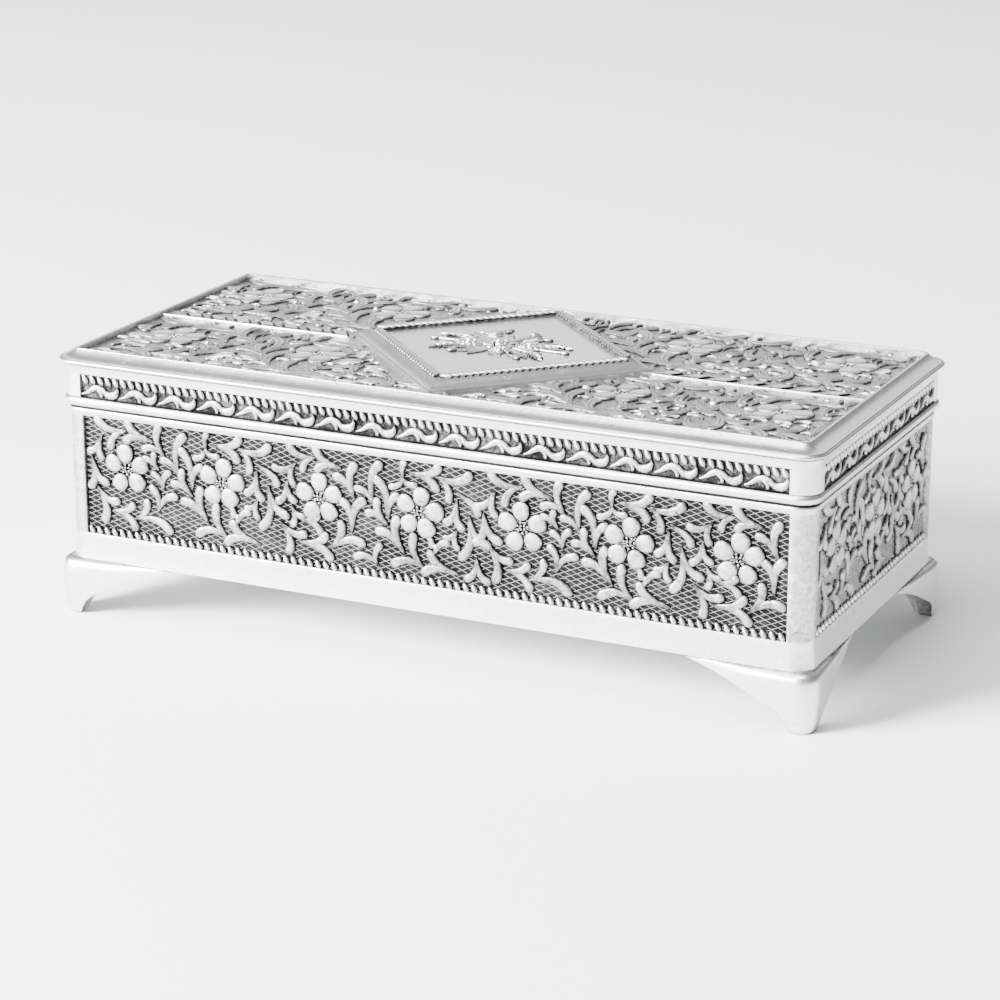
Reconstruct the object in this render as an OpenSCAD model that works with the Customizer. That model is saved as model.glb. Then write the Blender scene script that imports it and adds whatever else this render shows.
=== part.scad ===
// Footed keepsake box in cast metal. Four relief walls stand on bracket feet,
// and a lid in a moulded frame turns on two small barrel hinges at the back.
// Millimetres. +Z is up, X runs along the length, -Y is the front, and the
// origin is on the table, below the middle of the whole box.
// "out" is always the distance outward from the plane of the posts' faces.

/* [Body] */
// Length of the body over its corner posts
body_w = 170; // [140:1:200]
// Depth of the body over its corner posts
body_d = 78.5; // [66:0.5:96]
// Height of the walls, from the skirt's lower edge to the seam
wall_h = 34; // [28:0.5:42]
// Thickness of the walls at the posts
wall_t = 2.6; // [2.2:0.1:3]
// Radius of the rounded corner posts
post_r = 4; // [3.4:0.1:4.2]
// Width of the plain post beside each relief panel
post_w = 4.6; // [4.4:0.1:7]
// Depth of the relief panels' ground below the posts
panel_sink = 0.9; // [0.6:0.1:1.1]
// Height of the plain band above the relief panels
band_h = 1.8; // [1.2:0.1:2.6]
// How far the band stands out at its middle
band_out = 0.3; // [0.1:0.05:0.5]
// Height of the plain skirt below the relief panels
skirt_h = 5.7; // [4:0.1:7.5]
// How far the skirt flares out at its lower edge
skirt_flare = 0.4; // [0:0.1:0.8]

/* [Feet] */
// Height of the feet under the walls
foot_h = 12.6; // [10:0.2:16]
// Length of each wing of a foot
foot_l = 25.5; // [20:0.5:30]
// How far a foot swells out beyond the skirt at its corner
foot_swell = 1.8; // [1:0.1:2.4]
// Inner face of a foot, inward from the posts
foot_in = 1.5; // [1.2:0.1:2]
// Corner radius of a foot, from the posts' corner
shoulder_r = 2.2; // [2.1:0.1:3.2]

/* [Lid] */
// Gap between the lid and the walls when shut
seam_gap = 0.3; // [0.2:0.05:0.5]
// Radius of the lid's lower corners
lid_r = 3.4; // [3:0.1:4.4]
// Plain face of the lid, out from the posts
lid_out = 0.6; // [0.3:0.1:0.9]
// Height of the round bead along the lid's lower edge
bead_h = 2; // [1.4:0.1:2.6]
// How far that bead stands out
bead_out = 1.1; // [1:0.1:1.4]
// Height of the leaf frieze above the bead
frieze_h = 3.4; // [2.6:0.1:4.4]
// Depth of the frieze's ground below the lid's face
frieze_sink = 0.7; // [0.4:0.1:1]
// Height of the plain fascia under the rim
fascia_h = 1.9; // [1.2:0.1:2.8]
// How far the fascia leans out at its top
fascia_lean = 0.3; // [0:0.1:0.6]
// Height of the rim's outer arris
arris_h = 1.2; // [0.8:0.1:1.8]
// How far the arris stands out
arris_out = 1.9; // [1.5:0.1:2.4]
// Rise of the hollow slope behind the arris
slope_h = 1.8; // [1.2:0.1:2.6]
// Inner edge of the rim, inward from the posts
rim_in = 2.4; // [2:0.1:3]
// Corner radius of the rim's arris, from the posts' corner
rim_r = 1.3; // [0.8:0.1:2]
// Thickness of the lid's top plate
plate_t = 1.6; // [1.2:0.1:2.4]
// Depth of the plate's ground below the rim's inner edge
plate_sink = 1.4; // [1:0.1:1.8]
// Thickness of the ledge that carries the plate
ledge_t = 1.2; // [0.8:0.1:1.6]
// Width of that ledge under the plate
ledge_w = 2; // [1.4:0.1:3]

/* [Plaque] */
// Half diagonal of the diamond plaque on the lid
plaque_half = 35; // [28:0.5:35.5]
// Height of the plaque's upright edge
plaque_edge_h = 1.3; // [0.8:0.1:2]
// Rise of its hollow slope
plaque_rise = 1.5; // [0.8:0.1:2.2]
// Width of that slope
plaque_slope_w = 3.6; // [2.5:0.1:4.5]
// Depth of the plain field inside the rope
plaque_sink = 0.6; // [0.3:0.1:1]

/* [Ropes] */
// Width of the rope along the foot of the walls
wall_rope_w = 1.5; // [1.2:0.1:2]
// Width of the rope along the lid
lid_rope_w = 1.8; // [1.4:0.1:2.2]
// Width of the rope round the plaque
plaque_rope_w = 1.5; // [1.2:0.1:2]
// Spacing of the strands along a rope
rope_pitch = 1.9; // [1.6:0.1:2.4]
// Lean of the strands from the upright, in degrees
rope_lean = 28; // [15:1:40]

/* [Relief] */
// Spacing of the flowers along a wall
flower_pitch = 23.3; // [21:0.1:27]
// Spacing of the flowers along the lid
lid_flower_pitch = 35; // [31:0.5:40]
// Radius of a petal
petal_r = 1.95; // [1.5:0.05:2.05]
// Half width of a wall's leaf at its tip
leaf_r = 1.15; // [0.8:0.05:1.2]
// Half width of a leaf on the lid
lid_leaf_r = 1.5; // [1.2:0.05:1.6]
// Turn of a leaf's tip, in degrees
leaf_hook = 40; // [0:5:45]
// Width of the plain strip along the middle of the lid
strip_w = 5; // [4:0.1:7]
// Spacing of the studs along that strip
stud_pitch = 6.1; // [5.2:0.1:8]
// Spacing of the leaves along the frieze
frieze_pitch = 9.4; // [8:0.1:11]

/* [Hinges] */
// Distance of each hinge's middle from the middle of the box
hinge_x = 48; // [35:1:58]
// Length of each hinge
hinge_w = 16; // [12:0.5:22]
// Outer radius of the knuckles
knuckle_r = 1.5; // [1.3:0.05:1.8]
// Radius of the pin
pin_r = 0.7; // [0.5:0.05:0.8]
// Running clearance round the pin
pin_gap = 0.08; // [0.05:0.01:0.12]
// Clearance between knuckles, and round each barrel
knuckle_gap = 0.3; // [0.2:0.05:0.4]
// Thickness of the leaves
leaf_t = 0.6; // [0.5:0.05:0.8]
// Depth of the body leaf down the inside of the back wall
body_leaf_h = 9; // [7:0.5:12]
// Height of the lid leaf up the inside of the back rail
lid_leaf_h = 6.5; // [5.5:0.1:7]
// Radius of the rivets' shanks
rivet_r = 0.6; // [0.5:0.05:0.8]
// Angle at which the heels stop the lid, in degrees
open_angle = 100; // [90:1:110]

/* [Lining] */
// Thickness of the floor plate
floor_t = 1; // [0.8:0.1:1.5]
// Height of the floor plate above the skirt's lower edge
floor_up = 0.8; // [0.4:0.1:2]
// Thickness of the velvet pad on the floor
floor_pad_t = 2.2; // [1.5:0.1:4]
// Thickness of the velvet pads on the walls
wall_pad_t = 1.4; // [1:0.1:2]
// Thickness of the velvet pad in the lid
lid_pad_t = 1.4; // [1:0.1:1.8]
// Drop of the wall pads below the top of the walls
pad_drop = 1.6; // [1:0.1:3]
// Clearance round the pads
pad_gap = 0.3; // [0.2:0.05:0.5]

/* [Hidden] */
$fn = 32;

// Heights above the table
seam_z = foot_h + wall_h;
lid_z = seam_z + seam_gap;
floor_z = foot_h + floor_up;
pad_z = floor_z + floor_t;

// Heights above the lid's lower edge
frieze_z = bead_h;
lid_rope_z = frieze_z + frieze_h;
fascia_z = lid_rope_z + lid_rope_w;
rim_z = fascia_z + fascia_h;
slope_z = rim_z + arris_h;
lid_h = slope_z + slope_h;
ground_z = lid_h - plate_sink;
ledge_z = ground_z - plate_t;

// The relief panels of the walls
panel_h = wall_h - skirt_h - band_h;

// How far the relief of the walls, the frieze and the lid rises from its ground
wall_relief = panel_sink - 0.1;
frieze_relief = frieze_sink - 0.1;
lid_relief = 0.5 * plate_sink;
// How deep raised work is rooted in its ground, and how far it stays from
// the ground's edges
rooted = 0.2;
edge_gap = 0.3;

// Axis of the hinges, outward from the back wall and up from the table
axis_out = bead_out + knuckle_gap + knuckle_r;
axis_z = seam_z + seam_gap / 2;

// Reach of the heels that stop the lid, from the hinges' axis, and how far
// they stand out behind the axis when the lid is shut
heel_reach = knuckle_r + 0.8;
heel_out = knuckle_r * sin(open_angle) - heel_reach * cos(open_angle);

// Room in depth for the front foot and for the hinges behind
front_reach = max(arris_out, skirt_flare + foot_swell);
back_reach = max(front_reach, axis_out + max(knuckle_r, heel_out));
mid_y = (front_reach - back_reach) / 2;

// Half sizes to the faces of the posts
half_w = body_w / 2;
half_d = body_d / 2;

// The leaf scroll as drawn: the spacing and height of its flowers, and the
// height of its panel
scroll_pitch = 23.3;
scroll_flower = 15.6;
scroll_h = 26.5;
// Its sprigs, each a root and the tips of its leaves, from the foot of the
// panel below a flower. A first and a second set make a pair of flowers, and
// the first set has two drawings that take turns.
sprigs_first = [
    [[0, 24.3], [-6.9, 25.9], [-4, 20.4]], [[6.5, 22.7], [0.5, 26.1], [0, 22.1]],
    [[9.3, 19.7], [8, 25.9], [4.5, 20.9]], [[-6.2, 22.4], [-10.5, 18.7], [-6.3, 17.6]],
    [[-8.8, 17.4], [-10.5, 10.9], [-5.5, 11.9]], [[-7.7, 10.9], [-3, 7.9], [-6, 3.6]],
    [[-3.8, 6], [1, 7.4], [1.5, 2.6]], [[1.5, 4.6], [4.7, 8.6], [10, 3.1]],
    [[7.8, 16.4], [4.5, 18.6], [6.8, 19.7]], [[8.8, 12.2], [6.7, 15.4], [10.2, 16.1]],
    [[7.3, 6.9], [6.2, 12.1], [11.5, 10.9]]];
sprigs_other = [
    [[-0.8, 24.2], [-6.8, 25.9], [-3.8, 21.4]], [[5.2, 22.7], [-0.6, 26.1], [-0.3, 21.9]],
    [[8.2, 16.4], [8.2, 23.6], [4.2, 20.9]], [[-5.6, 22.4], [-10.3, 20.9], [-6.3, 18.2]],
    [[-7.6, 18.4], [-9.6, 13.6], [-6, 14.2]], [[-6.6, 12.9], [-4.1, 10.9], [-6.3, 8.9]],
    [[-9.3, 8.9], [-3.8, 6.9], [-7.3, 2.9]], [[-5, 5.2], [1.2, 7.2], [2.2, 1.9]],
    [[2.2, 4.6], [5, 10.4], [9.7, 6.9]], [[7.5, 8.9], [5.7, 15.4], [10, 16.1]],
    [[36.2, 7.4], [34.2, 2.4], [38.7, 2.4]]];
sprigs_second = [
    [[12.5, 15.9], [14, 24.6], [9, 18.9]], [[16, 13.1], [13.5, 21.4], [18, 18.4]],
    [[16, 11.6], [11.5, 13.9], [13.5, 16.6]], [[19.8, 5.9], [14, 10.2], [18, 13.2]],
    [[24.5, 3.4], [17.5, 3.6], [21.8, 9.9]], [[19.5, 22.9], [17, 20.4], [22.2, 21.4]],
    [[21, 23.9], [27.5, 25.7], [27, 21.4]], [[27.5, 23.9], [34.5, 24.9], [30, 19.4]],
    [[26.3, 6.9], [29.5, 9.9], [27, 8.5]], [[32.2, 3.2], [24.5, 2.6], [25.8, 6.7]],
    [[31.8, 19.4], [29.5, 14.4], [32.8, 13.6]], [[31.8, 12.9], [29.3, 10.9], [31.8, 9.2]],
    [[34.5, 16.4], [33, 7.4], [38.5, 10.6]]];
// A leaf of the frieze: a hump on a thin tail, a lobe under it, and a crescent
// with its tip turned up. Shares of the pitch and of the frieze's height.
frieze_leaf = [[0.03, 0.18], [0.14, 0.44], [0.27, 0.78], [0.39, 0.88], [0.5, 0.76],
    [0.6, 0.5], [0.7, 0.46], [0.82, 0.6], [0.9, 0.62], [0.96, 0.92], [0.97, 0.5],
    [0.9, 0.22], [0.78, 0.09], [0.66, 0.18], [0.6, 0.34], [0.55, 0.16], [0.49, 0.2],
    [0.47, 0.44], [0.37, 0.54], [0.24, 0.34], [0.12, 0.17]];

pewter = "#c4c6c8";
steel = "#a9abad";
velvet = "#23242a";

// ---- Shared shapes ----

// Points from p to q on a shallow curve that swells to the right by sag.
function bow(p, q, sag, n = 4) =
    let (d = q - p, side = [d[1], -d[0]] / norm(d))
    [for (i = [0:n]) let (t = i / n) p + t * d + 4 * sag * t * (1 - t) * side];

// Turns a shape drawn for the front to side n: 0 front, 1 right, 2 back, 3 left.
// The shape's own origin is the middle of the front, on the posts' faces.
module on_side(n) {
    translate([0, mid_y, 0])
        rotate([0, 0, 90 * n])
            translate([0, n % 2 == 0 ? -half_d : -half_w, 0])
                children();
}

function side_length(n) = n % 2 == 0 ? body_w : body_d;

// A flat profile of (out, height) drawn along X.
module straight(length) {
    rotate([0, 0, -90])
        rotate([90, 0, 0])
            linear_extrude(length, center = true)
                children();
}

// One side of a moulded frame, mitred to its neighbours. Its profile runs
// straight and then turns to the mitre about an axis r inside the corner.
// What lies deeper than r is cut at the mitre, down to the depth reach.
module moulding(length, r, reach) {
    far = 10;
    intersection() {
        straight(length - 2 * r)
            children();
        translate([0, 0, -far])
            linear_extrude(lid_h + wall_h + 2 * far)
                polygon([[-length / 2, -far], [length / 2, -far], [length / 2, 0],
                    [length / 2 - reach, reach], [reach - length / 2, reach],
                    [-length / 2, 0]]);
    }
    for (m = [0, 1])
        mirror([m, 0, 0])
            translate([length / 2 - r, r, 0])
                rotate([0, 0, -90])
                    rotate_extrude(angle = 45)
                        intersection() {
                            translate([r, 0])
                                children();
                            translate([0, -far])
                                square([r + far, lid_h + wall_h + 2 * far]);
                        }
}

// A row of leaning strands, half sunk in the ground at the depth y.
module rope(length, width, y) {
    strand_r = 0.3 * rope_pitch;
    count = floor(length / rope_pitch);
    for (i = [0:count - 1])
        translate([(i - (count - 1) / 2) * rope_pitch, y, width / 2])
            rotate([0, -rope_lean, 0])
                cylinder(h = (width - 0.2) / cos(rope_lean) - strand_r, r = strand_r,
                    center = true, $fn = 16);
}

// ---- Relief ----
// Relief is drawn flat: X runs along it, Y up it, and Z out of its ground.

// The vector v turned left by an angle.
function turned(v, angle) =
    [v[0] * cos(angle) - v[1] * sin(angle), v[0] * sin(angle) + v[1] * cos(angle)];

// The point at the share t of a cubic curve with four control points.
function bend(c, t) =
    pow(1 - t, 3) * c[0] + 3 * t * pow(1 - t, 2) * c[1]
        + 3 * t * t * (1 - t) * c[2] + pow(t, 3) * c[3];

// The outline of a leaf that leaves its root along lean, widens to the half
// width r and hooks over at its round tip. A short leaf is slighter.
function leaf_outline(root, lean, tip, r) =
    let (n = 4,
        stem = 0.25,
        span = norm(tip - root),
        way = (tip - root) / span,
        side = lean[0] * way[1] > lean[1] * way[0] ? 1 : -1,
        over = turned(way, side * leaf_hook),
        curve = [root, root + 0.4 * span * lean, tip - 0.35 * span * over, tip],
        full = r * min(1, 0.5 + 0.07 * span),
        spine = [for (i = [0:n]) bend(curve, i / n)],
        ways = [for (i = [0:n]) i < n ? spine[i + 1] - spine[i] : over],
        left = [for (w = ways) turned(w, 90) / norm(w)],
        half = [for (i = [0:n]) stem + (full - stem) * pow(i / n, 0.6)])
    concat([for (i = [0:n]) spine[i] + half[i] * left[i]],
        [tip + 0.7 * full * (over + left[n]), tip + full * over,
            tip + 0.7 * full * (over - left[n])],
        [for (i = [n:-1:0]) spine[i] - half[i] * left[i]]);

// The leaves that part from one root, s = [root, tip, tip].
module sprig(s, r) {
    middle = (s[1] + s[len(s) - 1]) / 2 - s[0];
    for (i = [1:len(s) - 1])
        polygon(leaf_outline(s[0], middle / norm(middle), s[i], r));
}

// A shallow cap.
module cap(r, rise) {
    ball_r = (r * r + rise * rise) / (2 * rise);
    rotate_extrude()
        intersection() {
            translate([0, rise - ball_r])
                circle(ball_r);
            translate([0, -rooted])
                square([r, rooted + rise]);
        }
}

// Five petals, one upright, round a heart.
module flower(rise) {
    for (k = [0:4])
        rotate([0, 0, 90 + 72 * k])
            translate([1.82 * petal_r, 0, 0])
                cap(petal_r, rise);
    cap(0.5 * petal_r, 0.7 * rise);
}

// A row of flowers in a leaf scroll, on a ground that is width by height and
// kept free below low. A diamond of the ground, with the half diagonal bare
// and its middle at the height bare_y, is kept free too.
module scroll(width, height, low, pitch, r, rise, bare = 0, bare_y = 0) {
    count = floor((width - 10 * petal_r) / pitch) + 1;
    stretch = [pitch / scroll_pitch, height / scroll_h];
    limit = width / 2 - r - edge_gap;
    high = height - r - edge_gap;
    flower_y = scroll_flower * stretch[1];
    translate([0, 0, -rooted])
        linear_extrude(rooted + rise)
            difference() {
                for (k = [0:2:count - 1])
                    for (s = concat(k % 4 == 0 ? sprigs_first : sprigs_other, sprigs_second)) {
                        start = (k - (count - 1) / 2) * pitch;
                        placed = [for (p = s)
                            [min(max(start + p[0] * stretch[0], -limit), limit),
                                min(max(p[1] * stretch[1], low + r), high)]];
                        if (abs(start + s[0][0] * stretch[0]) < limit
                                && abs(placed[0][0]) + abs(placed[0][1] - bare_y) > bare)
                            sprig(placed, r);
                    }
                if (bare > 0)
                    translate([0, bare_y])
                        rotate(45)
                            square(bare * sqrt(2), center = true);
            }
    for (k = [0:count - 1]) {
        x = (k - (count - 1) / 2) * pitch;
        if (abs(x) + abs(flower_y - bare_y) > bare + 3 * petal_r)
            translate([x, flower_y, 0])
                flower(rise);
    }
}

// A pointed leaf along X.
module blade(length, half) {
    n = 6;
    edge = [for (i = [1:n - 1]) [length * i / n, half * sin(180 * pow(i / n, 0.85))]];
    polygon(concat([[0, 0]], [for (e = edge) [e[0], -e[1]]], [[length, 0]],
        [for (i = [n - 2:-1:0]) edge[i]]));
}

// A rose: two rings of petals round a bud, as one turned form.
module rose(r, rise) {
    rotate_extrude()
        polygon([[0, -rooted], [r, -rooted], [r, 0.35 * rise], [0.88 * r, 0.6 * rise],
            [0.7 * r, 0.5 * rise], [0.58 * r, 0.85 * rise], [0.4 * r, 0.7 * rise],
            [0.24 * r, rise], [0, 0.9 * rise]]);
}

// A spray of three roses in a burst of leaves, wider than it is high.
module spray(rise) {
    leaves = 11;
    translate([0, 0, -rooted])
        linear_extrude(rooted + 0.55 * rise)
            for (i = [0:leaves - 1])
                let (a = 360 * (i + 0.25) / leaves)
                    rotate(a)
                        translate([2, 0])
                            blade(8 + 5 * abs(cos(a)), 1.45);
    rose(3.8, rise);
    for (s = [-1, 1])
        translate([6.8 * s, 1.4 * s, 0])
            rose(2.8, 0.85 * rise);
}

// The frieze's leaves along a ground of the given width.
module frieze(width) {
    count = round(width / frieze_pitch);
    pitch = width / count;
    translate([0, 0, -rooted])
        linear_extrude(rooted + frieze_relief)
            for (i = [0:count - 1])
                translate([-width / 2 + i * pitch, 0])
                    polygon([for (p = frieze_leaf) [p[0] * pitch, p[1] * frieze_h]]);
}

// ---- Body ----

module wall_section() {
    polygon(concat([[-wall_t, 0], [skirt_flare, 0], [0, skirt_h]],
        bow([0, wall_h - band_h], [0, wall_h], band_out), [[-wall_t, wall_h]]));
}

module wall(length) {
    panel_w = length - 2 * post_w;
    difference() {
        moulding(length, post_r, wall_t)
            wall_section();
        translate([-panel_w / 2, -1, skirt_h])
            cube([panel_w, 1 + panel_sink, panel_h]);
    }
    translate([0, 0, skirt_h])
        rope(panel_w, wall_rope_w, panel_sink);
    translate([0, panel_sink, skirt_h])
        rotate([90, 0, 0])
            scroll(panel_w, panel_h, wall_rope_w, flower_pitch, leaf_r, wall_relief);
}

module placed_wall(n) {
    on_side(n)
        translate([0, 0, foot_h])
            wall(side_length(n));
}

module front_wall() {
    color(pewter) placed_wall(0);
}

// The back wall has a notch and two rivet holes for each hinge leaf.
module back_wall() {
    color(pewter)
        difference() {
            placed_wall(2);
            for (s = [-1, 1])
                at_hinge(s) {
                    leaf_notch(-1);
                    rivets(-1, body_leaf_h, 0.05);
                }
        }
}

module right_wall() {
    color(pewter) placed_wall(1);
}

module left_wall() {
    color(pewter) placed_wall(3);
}

module floor_plate() {
    corner = post_r - wall_t + pad_gap;
    color(steel)
        translate([0, mid_y, floor_z])
            linear_extrude(floor_t)
                intersection() {
                    square([body_w - 2 * wall_t, body_d - 2 * wall_t], center = true);
                    rotate([0, 0, 45])
                        square((half_w + half_d - 2 * wall_t - corner) * sqrt(2),
                            center = true);
                }
}

// ---- Feet ----

// A foot's lower edge: the share of the wing's length, and the share of the
// foot's height that it has risen to there.
foot_edge = [[0.04, 0.06], [0.09, 0.215], [0.155, 0.325], [0.23, 0.405],
    [0.365, 0.51], [0.56, 0.7], [0.8, 0.865], [1, 0.975]];
// The swell's share of its fullest at each share of the height.
foot_bulge = [[0, 0.4], [0.05, 0.58], [0.12, 0.72], [0.24, 0.85], [0.48, 0.98],
    [0.75, 1], [0.88, 0.9], [0.95, 0.68], [0.99, 0.35], [1, 0.15]];

module foot_section() {
    polygon(concat([[-foot_in, 0]],
        [for (b = foot_bulge) [skirt_flare + b[1] * foot_swell, b[0] * foot_h]],
        [[-foot_in, foot_h]]));
}

// The front wing. Its section runs along it, its swell fades in plan towards
// its end, and its lower edge sweeps up from the toe.
module foot_wing() {
    start = shoulder_r + 0.2;
    far = 2 * foot_swell + foot_in + 2;
    fade_steps = 8;
    intersection() {
        translate([-(foot_l + shoulder_r) / 2, 0, 0])
            straight(foot_l - shoulder_r)
                foot_section();
        linear_extrude(foot_h)
            polygon(concat([[0, foot_in], [0, -far]],
                [for (i = [0:fade_steps]) let (t = i / fade_steps)
                    [-shoulder_r - t * (foot_l - shoulder_r),
                        -skirt_flare - foot_swell * (1 - pow(t, 1.7))]],
                [[-foot_l, foot_in]]));
        translate([0, far, 0])
            rotate([90, 0, 0])
                linear_extrude(2 * far)
                    polygon(concat([[0, foot_h], [0, 0], [-start, 0]],
                        [for (e = foot_edge)
                            [-start - e[0] * (foot_l - start), e[1] * foot_h]],
                        [[-foot_l, foot_h]]));
    }
}

// A foot at the front right, with its origin at the corner of the posts' faces.
module foot() {
    foot_wing();
    mirror([1, 1, 0])
        foot_wing();
    translate([-shoulder_r, shoulder_r, 0])
        rotate([0, 0, -90])
            rotate_extrude(angle = 90)
                translate([shoulder_r, 0])
                    foot_section();
}

// A foot at the corner of signs sx and sy.
module placed_foot(sx, sy) {
    color(pewter)
        translate([sx * half_w, mid_y + sy * half_d, 0])
            mirror([sx < 0 ? 1 : 0, 0, 0])
                mirror([0, sy > 0 ? 1 : 0, 0])
                    foot();
}

module foot_front_left() {
    placed_foot(-1, -1);
}

module foot_front_right() {
    placed_foot(1, -1);
}

module foot_back_left() {
    placed_foot(-1, 1);
}

module foot_back_right() {
    placed_foot(1, 1);
}

// ---- Lining ----

module pad(w, d, h) {
    translate([-w / 2, -d / 2, 0])
        cube([w, d, h]);
}

module floor_lining() {
    color(velvet)
        translate([0, mid_y, pad_z])
            pad(body_w - 2 * wall_t - 2 * pad_gap, body_d - 2 * wall_t - 2 * pad_gap,
                floor_pad_t);
}

// A pad glued to the inside of side n.
module wall_lining(n) {
    bottom = pad_z + floor_pad_t;
    // The front and back pads run past the ends of the side pads.
    stop = n % 2 == 0 ? post_r : wall_t + wall_pad_t + pad_gap;
    color(velvet)
        on_side(n)
            translate([0, wall_t + wall_pad_t / 2, bottom])
                pad(side_length(n) - 2 * stop, wall_pad_t, seam_z - pad_drop - bottom);
}

module front_lining() {
    wall_lining(0);
}

module right_lining() {
    wall_lining(1);
}

module left_lining() {
    wall_lining(3);
}

// The back pad is cut away round the body leaves.
module back_lining() {
    color(velvet)
        difference() {
            wall_lining(2);
            for (s = [-1, 1])
                at_hinge(s)
                    translate([0, -wall_t - axis_out, -body_leaf_h])
                        cube([hinge_w + 2 * pad_gap, 6 * leaf_t, 2 * body_leaf_h + 2 * pad_gap],
                            center = true);
        }
}

// ---- Lid ----

lid_reach = rim_in + ledge_w;

module lid_section() {
    polygon(concat(
        [[-wall_t, 0]],
        bow([lid_out + 0.1, 0], [lid_out, bead_h], bead_out - lid_out, 6),
        [[lid_out, fascia_z], [lid_out + fascia_lean, rim_z], [-wall_t, rim_z]]));
}

// The rim's arris, its hollow slope and the thin fillet at its inner edge.
module rim_section() {
    groove = 0.25;
    fillet = 0.6;
    polygon(concat(
        [[-rim_in, ledge_z], [-lid_reach, ledge_z], [-lid_reach, ledge_z - ledge_t],
            [-wall_t + 0.5, ledge_z - ledge_t], [-wall_t + 0.5, rim_z],
            [lid_out, rim_z], [lid_out, rim_z + groove]],
        bow([arris_out - 0.5, rim_z + groove], [arris_out - 0.4, slope_z], 0.45, 4),
        bow([arris_out - 0.7, slope_z + 0.1], [-rim_in + fillet, lid_h - 0.15], -0.35, 6),
        bow([-rim_in + fillet, lid_h], [-rim_in, lid_h - 0.2], 0.12, 3)));
}

module rail(length) {
    panel_w = length - 2 * post_w;
    difference() {
        union() {
            moulding(length, lid_r, wall_t)
                lid_section();
            moulding(length, rim_r, lid_reach)
                rim_section();
        }
        translate([-panel_w / 2, -lid_out - 1, frieze_z])
            cube([panel_w, 1 + frieze_sink, frieze_h + lid_rope_w]);
    }
    translate([0, 0, lid_rope_z])
        rope(panel_w, lid_rope_w, frieze_sink - lid_out);
    translate([0, frieze_sink - lid_out, frieze_z])
        rotate([90, 0, 0])
            frieze(panel_w);
}

module placed_rail(n) {
    on_side(n)
        translate([0, 0, lid_z])
            rail(side_length(n));
}

module lid_front_rail() {
    color(pewter) placed_rail(0);
}

module lid_right_rail() {
    color(pewter) placed_rail(1);
}

module lid_left_rail() {
    color(pewter) placed_rail(3);
}

module lid_back_rail() {
    color(pewter)
        difference() {
            placed_rail(2);
            for (s = [-1, 1])
                at_hinge(s) {
                    leaf_notch(1);
                    rivets(1, lid_leaf_h, 0.05);
                }
        }
}

// The strip along the lid's middle, from the plaque to the rim on the right:
// plain, with a raised line along its front edge and slanted studs.
module strip(length) {
    line_w = 0.7;
    line_in = 0.5;
    slant = 1.2;
    count = floor((length - 1) / stud_pitch);
    translate([0, -strip_w / 2, -rooted]) {
        linear_extrude(rooted + 0.6 * lid_relief)
            square([length, strip_w]);
        linear_extrude(rooted + 1.2 * lid_relief)
            translate([line_in, 0])
                square([length - 2 * line_in, line_w]);
        for (i = [0:count - 1])
            translate([(i + 0.5) * stud_pitch, strip_w / 2, 0])
                linear_extrude(rooted + 1.1 * lid_relief)
                    polygon([[-1.8, -1], [1.2, -1.2], [1.8 + slant, 1.2], [slant - 1.4, 1.4]]);
    }
}

// The plate's relief: a scroll in front of the strip and one behind it.
module lid_relief(w, d) {
    side_d = (d - strip_w) / 2;
    clear = plaque_half + edge_gap;
    for (y = [-d / 2, strip_w / 2])
        translate([0, y, 0])
            scroll(w, side_d, 0, lid_flower_pitch, lid_leaf_r, lid_relief, clear, -y);
    for (m = [0, 1])
        mirror([m, 0, 0])
            translate([clear, 0, 0])
                strip(w / 2 - clear - edge_gap);
}

module lid_top_plate() {
    w = body_w - 2 * rim_in;
    d = body_d - 2 * rim_in;
    color(pewter)
        translate([0, mid_y, lid_z + ledge_z]) {
            pad(w, d, plate_t);
            translate([0, 0, plate_t])
                lid_relief(w, d);
        }
}

module lid_lining() {
    inset = lid_reach + pad_gap;
    color(velvet)
        translate([0, mid_y, lid_z + ledge_z - lid_pad_t])
            pad(body_w - 2 * inset, body_d - 2 * inset, lid_pad_t);
}

// ---- Plaque ----

module plaque_section() {
    crest = plaque_edge_h + plaque_rise;
    rope_in = plaque_slope_w + plaque_rope_w;
    polygon(concat(
        [[-rope_in - 1, 0], [0, 0], [0, plaque_edge_h - 0.2], [-0.3, plaque_edge_h]],
        bow([-0.5, plaque_edge_h], [-plaque_slope_w, crest], -0.3, 5),
        [[-rope_in, crest - 0.2], [-rope_in, crest - plaque_sink],
            [-rope_in - 1, crest - plaque_sink]]));
}

module diamond_plaque() {
    side = plaque_half * sqrt(2);
    inner = plaque_slope_w + plaque_rope_w;
    crest = plaque_edge_h + plaque_rise;
    field = side - 2 * inner;
    color(pewter)
        translate([0, mid_y, lid_z + ground_z])
            rotate([0, 0, 45]) {
                pad(field, field, crest - plaque_sink);
                translate([0, 0, crest - plaque_sink])
                    rotate([0, 0, -45])
                        spray(plaque_sink + 0.6);
                for (n = [0:3])
                    rotate([0, 0, 90 * n])
                        translate([0, -side / 2, 0]) {
                            moulding(side, 0, inner + 1)
                                plaque_section();
                            translate([0, inner, crest - 0.1])
                                rotate([90, 0, 0])
                                    rope(side - 2 * inner, plaque_rope_w, 0);
                        }
            }
}

// ---- Hinges ----

// The middle of the hinge on side s, on its axis, with +Y away from the box.
module at_hinge(s) {
    translate([s * hinge_x, mid_y + half_d + axis_out, axis_z])
        children();
}

// A leaf lies just clear of the seam's middle, above it for up = 1 and below
// for up = -1, and bends along the inner face of the wall or the rail.
module leaf_block(w, y0, y1, z0, z1, up) {
    translate([-w / 2, y0, up > 0 ? z0 : -z1])
        cube([w, y1 - y0, z1 - z0]);
}

module leaf_notch(up) {
    leaf_block(hinge_w + knuckle_gap, -axis_out - wall_t - 1, 0, 0,
        seam_gap / 2 + leaf_t, up);
}

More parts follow.
